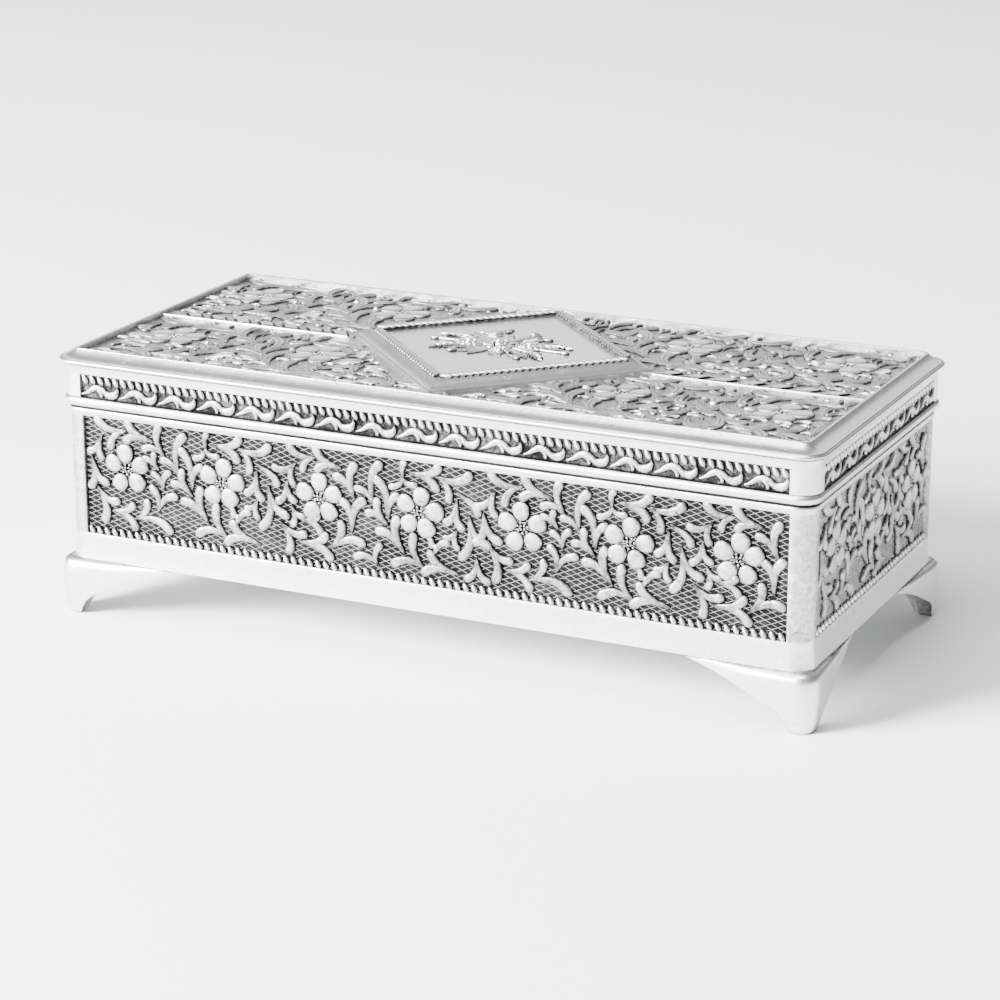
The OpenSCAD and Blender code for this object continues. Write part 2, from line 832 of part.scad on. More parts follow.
// Two rivets through a leaf into the wall or rail, with their holes' clearance.
module rivets(up, leaf_h, gap) {
    depth = 1;
    for (s = [-1, 1])
        translate([s * hinge_w / 4, -axis_out - wall_t, up * leaf_h * 0.6])
            rotate([90, 0, 0]) {
                translate([0, 0, -depth - gap])
                    cylinder(h = depth + leaf_t + 2 * gap, r = rivet_r + gap);
                if (gap == 0)
                    translate([0, 0, leaf_t])
                        cylinder(h = 0.4, r1 = 2 * rivet_r, r2 = 1.4 * rivet_r);
            }
}

third = (hinge_w - 2 * knuckle_gap) / 3;

module knuckle(x0, up) {
    // A tab of the leaf runs into the knuckle.
    translate([x0, 0, 0]) {
        rotate([0, 90, 0])
            cylinder(h = third, r = knuckle_r);
        translate([0, -axis_out, up > 0 ? seam_gap / 2 : -seam_gap / 2 - leaf_t])
            cube([third, axis_out, leaf_t]);
    }
}

// The heel of the lid's knuckle comes up under the body leaf when the lid
// stands open.
module heel() {
    stop = 0.2;
    top = -seam_gap / 2 - leaf_t - stop;
    rotate([open_angle, 0, 0])
        translate([-third / 2, -heel_reach, -knuckle_r])
            cube([third, heel_reach, knuckle_r + top]);
}

module leaf(up, leaf_h, starts) {
    difference() {
        union() {
            for (x0 = starts)
                knuckle(x0, up);
            leaf_block(hinge_w, -axis_out - wall_t - leaf_t,
                -knuckle_r - knuckle_gap, seam_gap / 2, seam_gap / 2 + leaf_t, up);
            leaf_block(hinge_w, -axis_out - wall_t - leaf_t, -axis_out - wall_t,
                seam_gap / 2, leaf_h, up);
            if (up > 0)
                heel();
        }
        rotate([0, 90, 0])
            cylinder(h = 2 * hinge_w, r = pin_r + pin_gap, center = true);
        rivets(up, leaf_h, 0.05);
    }
}

module body_leaf(s) {
    color(steel)
        at_hinge(s)
            leaf(-1, body_leaf_h, [-hinge_w / 2, hinge_w / 2 - third]);
}

module lid_leaf(s) {
    color(steel)
        at_hinge(s)
            leaf(1, lid_leaf_h, [-third / 2]);
}

// The pin's heads lie against the outer knuckles.
module hinge_pin(s) {
    head = 0.4;
    color(steel)
        at_hinge(s)
            rotate([0, 90, 0]) {
                cylinder(h = hinge_w, r = pin_r, center = true);
                for (m = [0, 1])
                    mirror([0, 0, m])
                        translate([0, 0, hinge_w / 2])
                            cylinder(h = head, r1 = 1.5 * pin_r, r2 = pin_r);
            }
}

module hinge_left_body_leaf() {
    body_leaf(-1);
}

module hinge_right_body_leaf() {
    body_leaf(1);
}

module hinge_left_lid_leaf() {
    lid_leaf(-1);
}

module hinge_right_lid_leaf() {
    lid_leaf(1);
}

module hinge_left_pin() {
    hinge_pin(-1);
}

module hinge_right_pin() {
    hinge_pin(1);
}

module body_hinge_rivets() {
    color(steel)
        for (s = [-1, 1])
            at_hinge(s)
                rivets(-1, body_leaf_h, 0);
}

module lid_hinge_rivets() {
    color(steel)
        for (s = [-1, 1])
            at_hinge(s)
                rivets(1, lid_leaf_h, 0);
}

front_wall();
back_wall();
left_wall();
right_wall();
floor_plate();
foot_front_left();
foot_front_right();
foot_back_left();
foot_back_right();
floor_lining();
front_lining();
back_lining();
left_lining();
right_lining();
hinge_left_body_leaf();
hinge_right_body_leaf();
hinge_left_pin();
hinge_right_pin();
body_hinge_rivets();
lid_front_rail();
lid_back_rail();
lid_left_rail();
lid_right_rail();
lid_top_plate();
diamond_plaque();
lid_lining();
hinge_left_lid_leaf();
hinge_right_lid_leaf();
lid_hinge_rivets();
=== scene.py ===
import math
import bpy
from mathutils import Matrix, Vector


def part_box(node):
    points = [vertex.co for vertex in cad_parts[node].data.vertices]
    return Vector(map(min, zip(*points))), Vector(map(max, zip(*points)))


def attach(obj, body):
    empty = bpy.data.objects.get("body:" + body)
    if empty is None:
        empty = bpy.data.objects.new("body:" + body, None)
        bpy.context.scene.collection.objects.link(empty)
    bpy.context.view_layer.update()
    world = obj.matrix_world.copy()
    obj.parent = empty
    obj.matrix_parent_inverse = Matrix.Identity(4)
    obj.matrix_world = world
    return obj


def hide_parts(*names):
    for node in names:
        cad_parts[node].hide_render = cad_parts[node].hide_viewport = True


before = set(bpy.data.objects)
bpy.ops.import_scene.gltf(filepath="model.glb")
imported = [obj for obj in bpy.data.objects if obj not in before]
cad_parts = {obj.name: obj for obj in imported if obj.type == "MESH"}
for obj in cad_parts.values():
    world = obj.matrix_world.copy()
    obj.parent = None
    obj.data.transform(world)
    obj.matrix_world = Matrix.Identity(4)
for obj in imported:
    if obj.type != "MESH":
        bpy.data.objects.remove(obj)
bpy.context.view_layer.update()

from types import SimpleNamespace

import bmesh
import bpy
import numpy as np
from bpy.props import FloatProperty, FloatVectorProperty, IntProperty, PointerProperty

bl_info = {
    "name": "Cast Keepsake Box",
    "version": (1, 0, 0),
    "blender": (4, 5, 0),
    "location": "3D View > Sidebar > Keepsake Box",
    "description": "Dresses a footed box of cast metal with its relief, finish and velvet lining",
    "category": "Add Mesh",
}

MM = 0.001
SIDES = ("front", "right", "back", "left")
# Lift of the grounds, lift of the relief's tops and crease of its leaves: on the front, on the
# other sides, on the lid and on the plaque. Dark grounds are partly oxide and partly painted
# shade; the other sides' lighter grounds and tops are painted light, for how light falls on them.
FRONT_TONES = (0.24, 0.68, 0.12)
SIDE_TONES = (0.66, 0.8, 0.12)
LID_TONES = (0.6, 0.92, 0.4)
PLAQUE_TONES = (0.4, 1.0, 0.0)
# Lift of the plain posts beside the panels: painted shade that makes them duller than the bright
# skirt and band.
POST_SHADE_LIFT = 0.7
# Width of the slope at the rim of a sunk panel, and how far that rim is eased back, in
# millimetres.
EDGE = 0.18
EASE = 0.07
# How far strokes are sunk in their ground, in millimetres.
ROOTED = 0.15
# Faces that meet at more than this many degrees keep a sharp edge, on castings and on sheet.
SHARP_ANGLE = 35
SHEET_ANGLE = 30

# The studio, in metres and watts: each light's place, size and power, half the floor's width
# and how far it lies below the feet.
SKY_STRENGTH = 0.33
LIGHTS = {"key": ((-0.95, -1.05, 0.62), 0.6, 235), "back": ((-0.85, 1.6, 0.65), 1.2, 9),
          "top": ((-0.1, -0.45, 1.4), 0.8, 26), "rim": ((0.15, 1.5, 0.92), 0.7, 3)}
FLOOR_REACH = 6.0
FLOOR_DROP = 0.00002
# The camera: its place from the middle of the walls' depth in metres, its pitch and yaw in
# degrees, and its lens and sensor width in millimetres.
CAMERA_PLACE = (0.2769, -0.5853, 0.2322)
CAMERA_PITCH = 17.716
CAMERA_YAW = 25.33
LENS = 113.2
SENSOR_W = 36.0


# ---- Sizes and colours ----

def length(name, millimetres, text):
    """A length that a user can change, kept in metres."""
    return FloatProperty(name=name, description=text, default=millimetres * MM, unit="LENGTH")


def share(name, value, text):
    """A number from 0 to 1 that a user can change."""
    return FloatProperty(name=name, description=text, default=value, min=0, max=1, subtype="FACTOR")


def colour(name, value, text):
    return FloatVectorProperty(name=name, description=text, default=value, size=3, min=0, max=1,
                               subtype="COLOR")


class WallSizes(bpy.types.PropertyGroup):
    wall_t: length("Wall thickness", 2.6, "Thickness of the walls at the posts")
    post_r: length("Post radius", 4, "Radius of the rounded corner posts")
    post_w: length("Post width", 4.6, "Width of the plain post beside each relief panel")
    panel_sink: length("Panel depth", 0.9, "Depth of the panels' ground below the posts")
    band_h: length("Band height", 1.8, "Height of the plain band above the panels")
    band_out: length("Band swell", 0.3, "How far the band stands out at its middle")
    skirt_h: length("Skirt height", 5.7, "Height of the plain skirt below the panels")
    skirt_flare: length("Skirt flare", 0.4, "How far the skirt flares at its lower edge")
    rope_w: length("Rope width", 1.5, "Width of the rope at the foot of the panels")


class FootSizes(bpy.types.PropertyGroup):
    foot_l: length("Foot length", 25.5, "Length of each wing of a foot")
    foot_swell: length("Foot swell", 1.8, "How far a foot swells out at its corner")
    foot_in: length("Foot depth", 1.5, "Inner face of a foot, inward from the posts")
    shoulder_r: length("Shoulder radius", 1.6, "Corner radius of a foot")


class LidSizes(bpy.types.PropertyGroup):
    lid_r: length("Corner radius", 3.4, "Radius of the lid's lower corners")
    lid_out: length("Face", 0.6, "Plain face of the lid, out from the posts")
    bead_h: length("Bead height", 2, "Height of the bead along the lower edge")
    bead_out: length("Bead", 1.1, "How far the bead stands out")
    frieze_h: length("Frieze height", 3.4, "Height of the leaf frieze")
    frieze_sink: length("Frieze depth", 0.7, "Depth of the frieze's ground")
    rope_w: length("Rope width", 1.8, "Width of the rope above the frieze")
    fascia_h: length("Fascia height", 1.9, "Height of the plain fascia under the rim")
    fascia_lean: length("Fascia lean", 0.3, "How far the fascia leans out at its top")
    arris_h: length("Arris height", 1.2, "Height of the rim's outer arris")
    arris_out: length("Arris", 1.9, "How far the arris stands out")
    rim_in: length("Rim inner edge", 2.4, "Inner edge of the rim, inward from the posts")
    ledge_t: length("Ledge thickness", 1.2, "Thickness of the ledge under the plate")
    ledge_w: length("Ledge width", 2, "Width of the ledge under the plate")


class PlaqueSizes(bpy.types.PropertyGroup):
    edge_h: length("Edge height", 1.3, "Height of the plaque's upright edge")
    rise: length("Rise", 1.5, "Rise of its hollow slope")
    slope_w: length("Slope width", 2.7, "Width of that slope")
    sink: length("Field depth", 0.6, "Depth of the plain field inside the rope")
    rope_w: length("Rope width", 1.9, "Width of the rope round the field")
    rope_pitch: length("Rope pitch", 1.5, "Spacing of that rope's strands")


class ReliefSizes(bpy.types.PropertyGroup):
    relief: length("Relief", 0.9, "Height of the walls' leaves and petals over their ground")
    lid_relief: length("Lid relief", 0.75, "Height of the relief on the lid")
    leaf_r: length("Leaf half width", 1.2, "Half the width of a wall's leaf at its tip")
    lid_leaf_r: length("Lid leaf half width", 1.25, "Half the width of a leaf on the lid")
    leaf_hook: FloatProperty(name="Leaf hook", description="Turn of a leaf's tip",
                             default=math.radians(42), unit="ROTATION")
    flower_pitch: length("Flower spacing", 23.3, "Spacing of the flowers along a wall")
    lid_flower_pitch: length("Lid flower spacing", 35, "Spacing of the flowers along the lid")
    strip_w: length("Strip width", 5, "Width of the plain strip along the middle of the lid")
    stud_pitch: length("Stud spacing", 6.1, "Spacing of the studs along that strip")
    rope_pitch: length("Rope pitch", 1.9, "Spacing of the strands along a rope")
    rope_lean: FloatProperty(name="Rope lean", description="Lean of the strands from the upright",
                             default=math.radians(28), unit="ROTATION")
    net_w: length("Net width", 2.7, "Width of a lozenge of the ground's net")
    net_h: length("Net height", 1.2, "Height of a lozenge of the ground's net")
    net_rise: length("Net rise", 0.13, "Height of the net's ridges")
    seed: IntProperty(name="Seed", description="Seed of the small unevenness of the casting",
                      default=7)


class Finish(bpy.types.PropertyGroup):
    silver: colour("Silver", (0.75, 0.75, 0.75), "The bright metal on top of the relief")
    # This dark colour is the oxide in the recesses and also the painted shade in gaps, creases and
    # at the foot of the relief.
    tarnish_and_shade: colour("Tarnish", (0.013, 0.013, 0.0135), "The darkened metal in the recesses")
    steel: colour("Steel", (0.56, 0.57, 0.58), "The plated sheet of hinges and floor")
    velvet: colour("Velvet", (0.012, 0.012, 0.016), "The lining")
    paper: colour("Floor", (0.96, 0.96, 0.96), "The pale floor of the stage")
    gloss: share("Roughness", 0.34, "Roughness of the bright metal")


GROUPS = {"walls": WallSizes, "feet": FootSizes, "lid": LidSizes, "plaque": PlaqueSizes,
          "relief": ReliefSizes, "finish": Finish}


def sizes(group):
    """A group's values, with its lengths in millimetres."""
    owner = getattr(bpy.context.scene, "keepsake_" + group)
    values = {}
    for key in owner.__annotations__:
        value = getattr(owner, key)
        is_length = owner.bl_rna.properties[key].unit == "LENGTH"
        values[key] = value / MM if is_length else value
    return SimpleNamespace(**values)


def node_box(*nodes):
    """Lowest and highest corner of some nodes, in millimetres."""
    corners = np.array([[list(corner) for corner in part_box(node)] for node in nodes]) / MM
    return corners[:, 0].min(0), corners[:, 1].max(0)


def posts():
    """Half sizes to the posts' faces, and the middle of the walls in depth."""
    low, high = node_box("floor_plate")
    wall_t = sizes("walls").wall_t
    return (high[0] - low[0]) / 2 + wall_t, (high[1] - low[1]) / 2 + wall_t, (low[1] + high[1]) / 2


# ---- Flat work and where it sits ----

class Seat:
    """A place for work drawn flat. u and v run over it and h stands out of it, in millimetres."""

    def __init__(self, origin, along, up):
        self.origin = np.array(origin, float)
        self.axes = np.array([along, up, np.cross(along, up)], float)

    def at(self, u, v, h=0.0, flip=(1, 1)):
        """The same seat from another origin, mirrored in u or v where flip says -1."""
        moved = Seat(self.origin + np.array([u, v, h]) @ self.axes, self.axes[0], self.axes[1])
        moved.axes = self.axes * np.array([[flip[0]], [flip[1]], [1]])
        return moved

    def place(self, points):
        return (self.origin + np.asarray(points, float) @ self.axes) * MM


def side_seat(n, base_z):
    """Seat on side n of the box: u from its middle, v up from base_z, h out from the posts."""
    half_w, half_d, mid_y = posts()
    turn = n * math.pi / 2
    along = np.round([math.cos(turn), math.sin(turn), 0])
    out = np.cross(along, (0, 0, 1))
    reach = half_d if n % 2 == 0 else half_w
    return Seat(np.array([0, mid_y, base_z]) + out * reach, along, (0, 0, 1))


def side_length(n):
    half_w, half_d, _ = posts()
    return 2 * (half_w if n % 2 == 0 else half_d)


class Form:
    """The points and faces of one piece, with the lift of each point: 0 in a recess, 1 where the
    metal is bright. A low lift is partly oxide in the recesses and partly painted shade: dark
    outlines at the foot of the relief and dark lines in gaps and creases. Its relief rises from
    grounds with the lift `low` to the lift `top`, and `crease` is the depth of the groove along
    its leaves."""

    def __init__(self, low=0.0, top=1.0, crease=0.0):
        self.points, self.lifts, self.faces, self.count = [], [], [], 0
        self.low, self.top, self.crease = low, top, crease

    def add(self, seat, points, faces, lift):
        points = np.asarray(points, float).reshape(-1, 3)
        self.points.append(seat.place(points))
        self.lifts.append(np.broadcast_to(lift, len(points)))
        self.faces += [[i + self.count for i in face] for face in faces]
        self.count += len(points)

    def loft(self, seat, rings, lift=1.0):
        """A closed skin over rings of equally many points, capped at both ends."""
        rings = np.asarray(rings, float)
        n, m = rings.shape[:2]
        faces = [(i * m + j, i * m + (j + 1) % m, (i + 1) * m + (j + 1) % m, (i + 1) * m + j)
                 for i in range(n - 1) for j in range(m)]
        faces += [range(m), range((n - 1) * m, n * m)]
        self.add(seat, rings, faces, np.asarray(lift, float).reshape(-1))

    def mesh(self, name):
        mesh = bpy.data.meshes.new(name)
        mesh.from_pydata(np.concatenate(self.points).tolist(), [], self.faces)
        lift = mesh.attributes.new("lift", "FLOAT", "POINT")
        lift.data.foreach_set("value", np.concatenate(self.lifts).astype(np.float32))
        work = bmesh.new()
        work.from_mesh(mesh)
        bmesh.ops.remove_doubles(work, verts=work.verts, dist=0.001 * MM)
        bmesh.ops.recalc_face_normals(work, faces=work.faces)
        work.to_mesh(mesh)
        work.free()
        mesh.shade_smooth()
        mesh.set_sharp_from_angle(angle=math.radians(SHARP_ANGLE))
        return mesh


def piece(name, form, body, slot, material, *replaced):
    """Makes one piece of the box from a form, in place of the nodes that it dresses."""
    made = bpy.data.objects.new(name, form.mesh(name) if isinstance(form, Form) else form)
    bpy.context.scene.collection.objects.link(made)
    made.data.materials.append(material)
    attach(made, body)
    if replaced:
        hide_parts(*replaced)
    return made


def bow(p, q, sag, n=4):
    """Points from p to q on a shallow curve that swells to the right by sag."""
    p, q = np.array(p, float), np.array(q, float)
    d = q - p
    side = np.array([d[1], -d[0]]) / np.linalg.norm(d)
    return [tuple(p + t * d + 4 * sag * t * (1 - t) * side) for t in np.linspace(0, 1, n + 1)]


def curve(points, n):
    """n points on a smooth curve through the given ones."""
    points = np.asarray(points, float)
    padded = np.vstack([2 * points[0] - points[1], points, 2 * points[-1] - points[-2]])
    places = np.linspace(0, len(points) - 1, n)
    i = np.minimum(places.astype(int), len(points) - 2)
    t = (places - i)[:, None]
    a, b, c, d = (padded[i + k] for k in range(4))
    return 0.5 * (2 * b + (c - a) * t + (2 * a - 5 * b + 4 * c - d) * t ** 2
                  + (3 * b - a - 3 * c + d) * t ** 3)


def moulding(form, seat, run, r, ring_at, stops=()):
    """One side of a mitred frame. ring_at(u) gives its section as (h, v, lift), and the section
    turns to the mitre about an axis r inside the corner. What lies deeper than r is mitred."""
    end = run / 2 - r
    turns = np.radians(np.linspace(0, 45, 7))[1:] if r > 0 else []
    columns = [(-end, a) for a in reversed(turns)]
    columns += [(u, 0) for u in (-end, *stops, end)]
    columns += [(end, a) for a in turns]
    rings, lifts = [], []
    for u, a in columns:
        ring = []
        for h, v, lift in ring_at(u):
            reach = run / 2 + h
            if h < -r:
                ring.append((min(max(u, -reach), reach), v, h))
            else:
                ring.append((u + math.copysign((r + h) * math.sin(a), u), v,
                             (r + h) * math.cos(a) - r))
            lifts.append(lift)
        rings.append(ring)
    form.loft(seat, rings, lifts)


# ---- Relief ----

def stroke(form, seat, spine, widths, height, lift=1.0, sides=9, crease=0.0, box=0.7):
    """A raised stroke with a rounded back, along a spine on the ground and sunk a little in it.
    flank_fall above 1 keeps its flanks darker than its height alone would, and its foot takes half
    the ground's lift: a dark outline that is partly tarnish and partly painted shade."""
    flank_fall = 1.4
    spine, widths = np.asarray(spine, float), np.asarray(widths, float)
    heights = np.broadcast_to(height, len(spine)).astype(float)
    way = np.gradient(spine, axis=0)
    way /= np.linalg.norm(way, axis=1)[:, None] + 1e-9
    centres, ways, halves, tops = list(spine), list(way), list(widths), list(heights)
    for turn in np.radians((35, 62, 84)):
        centres.append(spine[-1] + way[-1] * widths[-1] * math.sin(turn))
        ways.append(way[-1])
        halves.append(widths[-1] * math.cos(turn))
        tops.append(heights[-1] * math.cos(turn) ** 0.5)
    centres.insert(0, spine[0] - way[0] * widths[0] * 0.8)
    ways.insert(0, way[0])
    halves.insert(0, widths[0] * 0.4)
    tops.insert(0, heights[0] * 0.6)
    centres, ways = np.array(centres), np.array(ways)
    across = np.stack([-ways[:, 1], ways[:, 0]], 1)
    angle = np.linspace(0, math.pi, sides)
    off = np.concatenate([np.cos(angle), [-1, 1]])
    up = np.concatenate([np.sin(angle) ** box, [0, 0]])
    up = up * (1 - crease * np.exp(-(off / 0.25) ** 2))
    aside = (off[None, :] * np.array(halves)[:, None])[..., None]
    flat = centres[:, None, :] + across[:, None, :] * aside
    top = up[None, :] * np.array(tops)[:, None]
    top[:, -2:] = -ROOTED
    # Tarnish with painted shade: the flanks darken faster than the height, and the foot takes half
    # the ground's lift.
    shade = np.clip(top / max(heights.max(), 1e-6), 0, 1) ** flank_fall
    shade = form.low / 2 + shade * (lift * form.top - form.low / 2)
    form.loft(seat, np.concatenate([flat, top[..., None]], -1), shade)


def turned(vector, angle):
    """A flat vector turned left."""
    cos, sin = math.cos(angle), math.sin(angle)
    return np.array([vector[0] * cos - vector[1] * sin, vector[0] * sin + vector[1] * cos])


def leaf(form, seat, root, lean, tip, r, rise):
    """A leaf that leaves its root along lean, widens and hooks over at its round tip."""
    hook, stem = sizes("relief").leaf_hook, 0.25
    root, tip = np.array(root, float), np.array(tip, float)
    span = np.linalg.norm(tip - root)
    way = (tip - root) / span
    side = 1 if lean[0] * way[1] > lean[1] * way[0] else -1
    over = turned(way, side * hook)
    full = r * min(1, 0.5 + 0.07 * span)
    t = np.linspace(0, 1, 9)[:, None]
    ends = (root, root + 0.4 * span * lean, tip - 0.35 * span * over, tip)
    spine = sum(weight * end for weight, end in zip(
        ((1 - t) ** 3, 3 * t * (1 - t) ** 2, 3 * t ** 2 * (1 - t), t ** 3), ends))
    t = t[:, 0]
    widths = stem + (full - stem) * t ** 0.6
    stroke(form, seat, spine, widths, rise * (0.6 + 0.4 * t ** 0.6), crease=form.crease, box=0.6)
    return np.column_stack([spine, widths])


def sprig(form, seat, root, tips, r, rise):
    """Leaves that part from one root. Gives back the ground that they cover, as (u, v, r)."""
    heading = (tips[0] + tips[-1]) / 2 - root
    heading = heading / np.linalg.norm(heading)
    return [leaf(form, seat, root, heading, tip, r, rise) for tip in tips]


def dome(form, seat, u, v, half_l, half_w, height, turn=0.0, n=14, egg=0.0, square=2.0):
    """A pillow-shaped boss. egg makes its outer end wider, and square above 2 fills its corners."""
    angle = np.linspace(0, 2 * math.pi, n, endpoint=False)
    round_off = (np.abs(np.cos(angle)) ** square + np.abs(np.sin(angle)) ** square) ** (-1 / square)
    rings, lifts = [], []
    for scale, rise in ((1, -0.15), (1, 0.1), (0.96, 0.5), (0.88, 0.78), (0.7, 0.94), (0.3, 1)):
        x = half_l * scale * round_off * np.cos(angle)
        y = half_w * scale * round_off * np.sin(angle) * (1 + egg * np.cos(angle))
        rings.append(np.stack([u + x * math.cos(turn) - y * math.sin(turn),
                               v + x * math.sin(turn) + y * math.cos(turn),
                               np.full(n, rise * height)], 1))
        # The foot takes half the ground's lift and the flanks darken faster than the height: a dark
        # outline, partly tarnish and partly painted shade.
        climb = max(rise, 0) ** 1.5
        lifts.append(np.full(n, form.low / 2 + climb * (form.top - form.low / 2)))
    form.loft(seat, rings, lifts)


def flower(form, seat, u, v, size, rise, chance):
    """Five petals round a heart of stamens. Chance makes no two of them quite alike."""
    ring_r, petal_l, petal_w = 3.5, 2.3, 2.12
    lean = chance.uniform(-14, 14)
    for k in range(5):
        turn = math.radians(90 + lean + 72 * k + chance.uniform(-4, 4))
        grow = size * chance.uniform(0.95, 1.04)
        dome(form, seat, u + ring_r * size * math.cos(turn), v + ring_r * size * math.sin(turn),
             petal_l * grow, petal_w * grow, rise, turn, n=18, egg=0.14, square=2.3)
        thread = turn + math.radians(36)
        path = [(u + r * size * math.cos(thread), v + r * size * math.sin(thread))
                for r in (0.5, 1.1, 1.9)]
        stroke(form, seat, path, (0.13, 0.13, 0.2), 0.55 * rise, 0.9, 5)
    for ring, count in ((1.2, 7), (0.55, 4)):
        for k in range(count):
            turn = 2 * math.pi * (k + ring) / count
            dome(form, seat, u + ring * size * math.cos(turn), v + ring * size * math.sin(turn),
                 0.27, 0.27, 0.75 * rise, n=7)
    turns = np.radians(90 + lean + 72 * np.arange(5))
    return np.column_stack([u + ring_r * size * np.cos(turns), v + ring_r * size * np.sin(turns),
                            np.full(5, 2.4 * size)])


# Sprigs of the leaf scroll, drawn for a panel 26.5 mm high: a root, then the tips of its
# leaves. u is measured from the first flower of a pair and v from the panel's foot.
SCROLL_H = 26.5
SCROLL_PITCH = 23.3
FLOWER_V = 15.6
# Room that the outer flowers leave at the ends together, and the largest flower's scale.
SCROLL_ENDS = 19.5
FLOWER_MAX = 1.12
PAIR_FIRST = (
    (((0, 24.3), (-6.9, 25.9), (-4, 20.4)), ((6.5, 22.7), (0.5, 26.1), (0, 22.1)),
     ((9.3, 19.7), (8, 25.9), (4.5, 20.9)), ((-6.2, 22.4), (-10.5, 18.7), (-6.3, 17.6)),
     ((-8.8, 17.4), (-10.5, 10.9), (-5.5, 11.9)), ((-7.7, 10.9), (-3, 7.9), (-6, 3.6)),
     ((-3.8, 6), (1, 7.4), (1.5, 2.6)), ((1.5, 4.6), (4.7, 8.6), (10, 3.1)),
     ((7.8, 16.4), (4.5, 18.6), (6.8, 19.7)), ((8.8, 12.2), (6.7, 15.4), (10.2, 16.1)),
     ((7.3, 6.9), (6.2, 12.1), (11.5, 10.9))),
    (((-0.8, 24.2), (-6.8, 25.9), (-3.8, 21.4)), ((5.2, 22.7), (-0.6, 26.1), (-0.3, 21.9)),
     ((8.2, 16.4), (8.2, 23.6), (4.2, 20.9)), ((-5.6, 22.4), (-10.3, 20.9), (-6.3, 18.2)),
     ((-7.6, 18.4), (-9.6, 13.6), (-6, 14.2)), ((-6.6, 12.9), (-4.1, 10.9), (-6.3, 8.9)),
     ((-4.5, 10.2), (0.2, 8.1), (-0.5, 11.4)), ((-9.3, 8.9), (-3.8, 6.9), (-7.3, 2.9)),
     ((-5, 5.2), (1.2, 7.2), (2.2, 1.9)), ((2.2, 4.6), (5, 10.4), (9.7, 6.9)),
     ((7.5, 8.9), (5.7, 15.4), (10, 16.1)), ((13.5, 1.9), (8.7, 3.9), (14, 6.9)),
     ((36.2, 7.4), (34.2, 2.4), (38.7, 2.4))))
PAIR_SECOND = (
    ((12.5, 15.9), (14, 24.6), (9, 18.9)), ((16, 13.1), (13.5, 21.4), (18, 18.4)),
    ((16, 11.6), (11.5, 13.9), (13.5, 16.6)), ((19.8, 5.9), (14, 10.2), (18, 13.2)),
    ((24.5, 3.4), (17.5, 3.6), (21.8, 9.9)), ((19.5, 22.9), (17, 20.4), (22.2, 21.4)),
    ((19.4, 22.6), (19.8, 25.9)),
    ((21, 23.9), (27.5, 25.7), (27, 21.4)), ((27.5, 23.9), (34.5, 24.9), (30, 19.4)),
    ((24.2, 11.9), (26, 8.9)), ((26.3, 6.9), (29.5, 9.9), (27, 8.5)),
    ((32.2, 3.2), (24.5, 2.6), (25.8, 6.7)), ((31.8, 19.4), (29.5, 14.4), (32.8, 13.6)),
    ((32.2, 20.9), (36.5, 17.4)), ((31.8, 12.9), (29.3, 10.9), (31.8, 9.2)),
    ((34.5, 16.4), (33, 7.4), (38.5, 10.6)))


def fill(form, seat, width, height, centres, spots, r, rise, clear, chance):
    """Small leaves that swirl round the flowers and fill what the scroll leaves free."""
    gap, tries, longest, slim = 0.16, 3600, 5.6, 0.85
    for k in range(tries):
        root = np.array([chance.uniform(-width / 2, width / 2), chance.uniform(0, height)])
        away = root - centres[np.argmin(np.linalg.norm(centres - root, axis=1))]
        swirl = math.atan2(away[1], away[0]) + math.copysign(0.9, away[0])
        swirl += chance.uniform(-0.5, 0.5)
        size = (1 - 0.66 * k / tries) * chance.uniform(0.85, 1.1)
        heading = np.array([math.cos(swirl), math.sin(swirl)])
        tip = root + longest * size * heading
        t = np.linspace(0, 1, 7)[:, None]
        path = np.column_stack([root + t * (tip - root), 0.3 + (slim * r * size - 0.3) * t])
        reach = width / 2 - path[:, 2] - gap
        inside = (abs(path[:, 0]) < reach) & (path[:, 1] > path[:, 2] + gap)
        inside &= path[:, 1] < height - path[:, 2] - gap
        if not inside.all() or any(clear(u, v) for u, v, _ in path):
            continue
        apart = np.linalg.norm(spots[:, None, :2] - path[None, 2:, :2], axis=2)
        if (apart > spots[:, None, 2] + path[None, 2:, 2] + gap).all():
            side = 0.7 if away[0] > 0 else -0.7
            spots = np.vstack([spots, leaf(form, seat, root, turned(heading, side), tip,
                                           slim * r * size, rise * chance.uniform(0.75, 1))])


def scroll(form, seat, width, height, low, pitch, r, rise, tuck=0.0, clear=None):
    """Flowers in a row with leaf sprigs between them, on a ground kept free below low. Leaves
    run under its upper edge by tuck. clear(u, v) says where nothing is drawn, and where it is
    given small leaves fill the rest."""
    chance = np.random.default_rng(sizes("relief").seed)
    stretch = np.array([pitch / SCROLL_PITCH, height / SCROLL_H])
    limit = width / 2 - r
    count = int((width - SCROLL_ENDS) / pitch) + 1
    centres, spots = [], []
    for k in range(count):
        first, level = (k - (count - 1) / 2) * pitch, FLOWER_V * stretch[1]
        centres.append((first, level))
        if not (clear and clear(first, level)):
            spots.append(flower(form, seat, first, level, min(stretch[1], FLOWER_MAX), rise,
                                chance))
        if k % 2:
            continue
        for points in PAIR_FIRST[k // 2 % 2] + PAIR_SECOND:
            placed = np.array(points) * stretch + (first, 0)
            if abs(placed[0, 0]) < limit and not (clear and clear(*placed[0])):
                placed[:, 0] = np.clip(placed[:, 0], -limit, limit)
                placed[:, 1] = np.clip(placed[:, 1], low + r, height - r + tuck)
                spots += sprig(form, seat, placed[0], placed[1:], r, rise)
    if clear:
        fill(form, seat, width, height, np.array(centres), np.vstack(spots), r, rise, clear, chance)


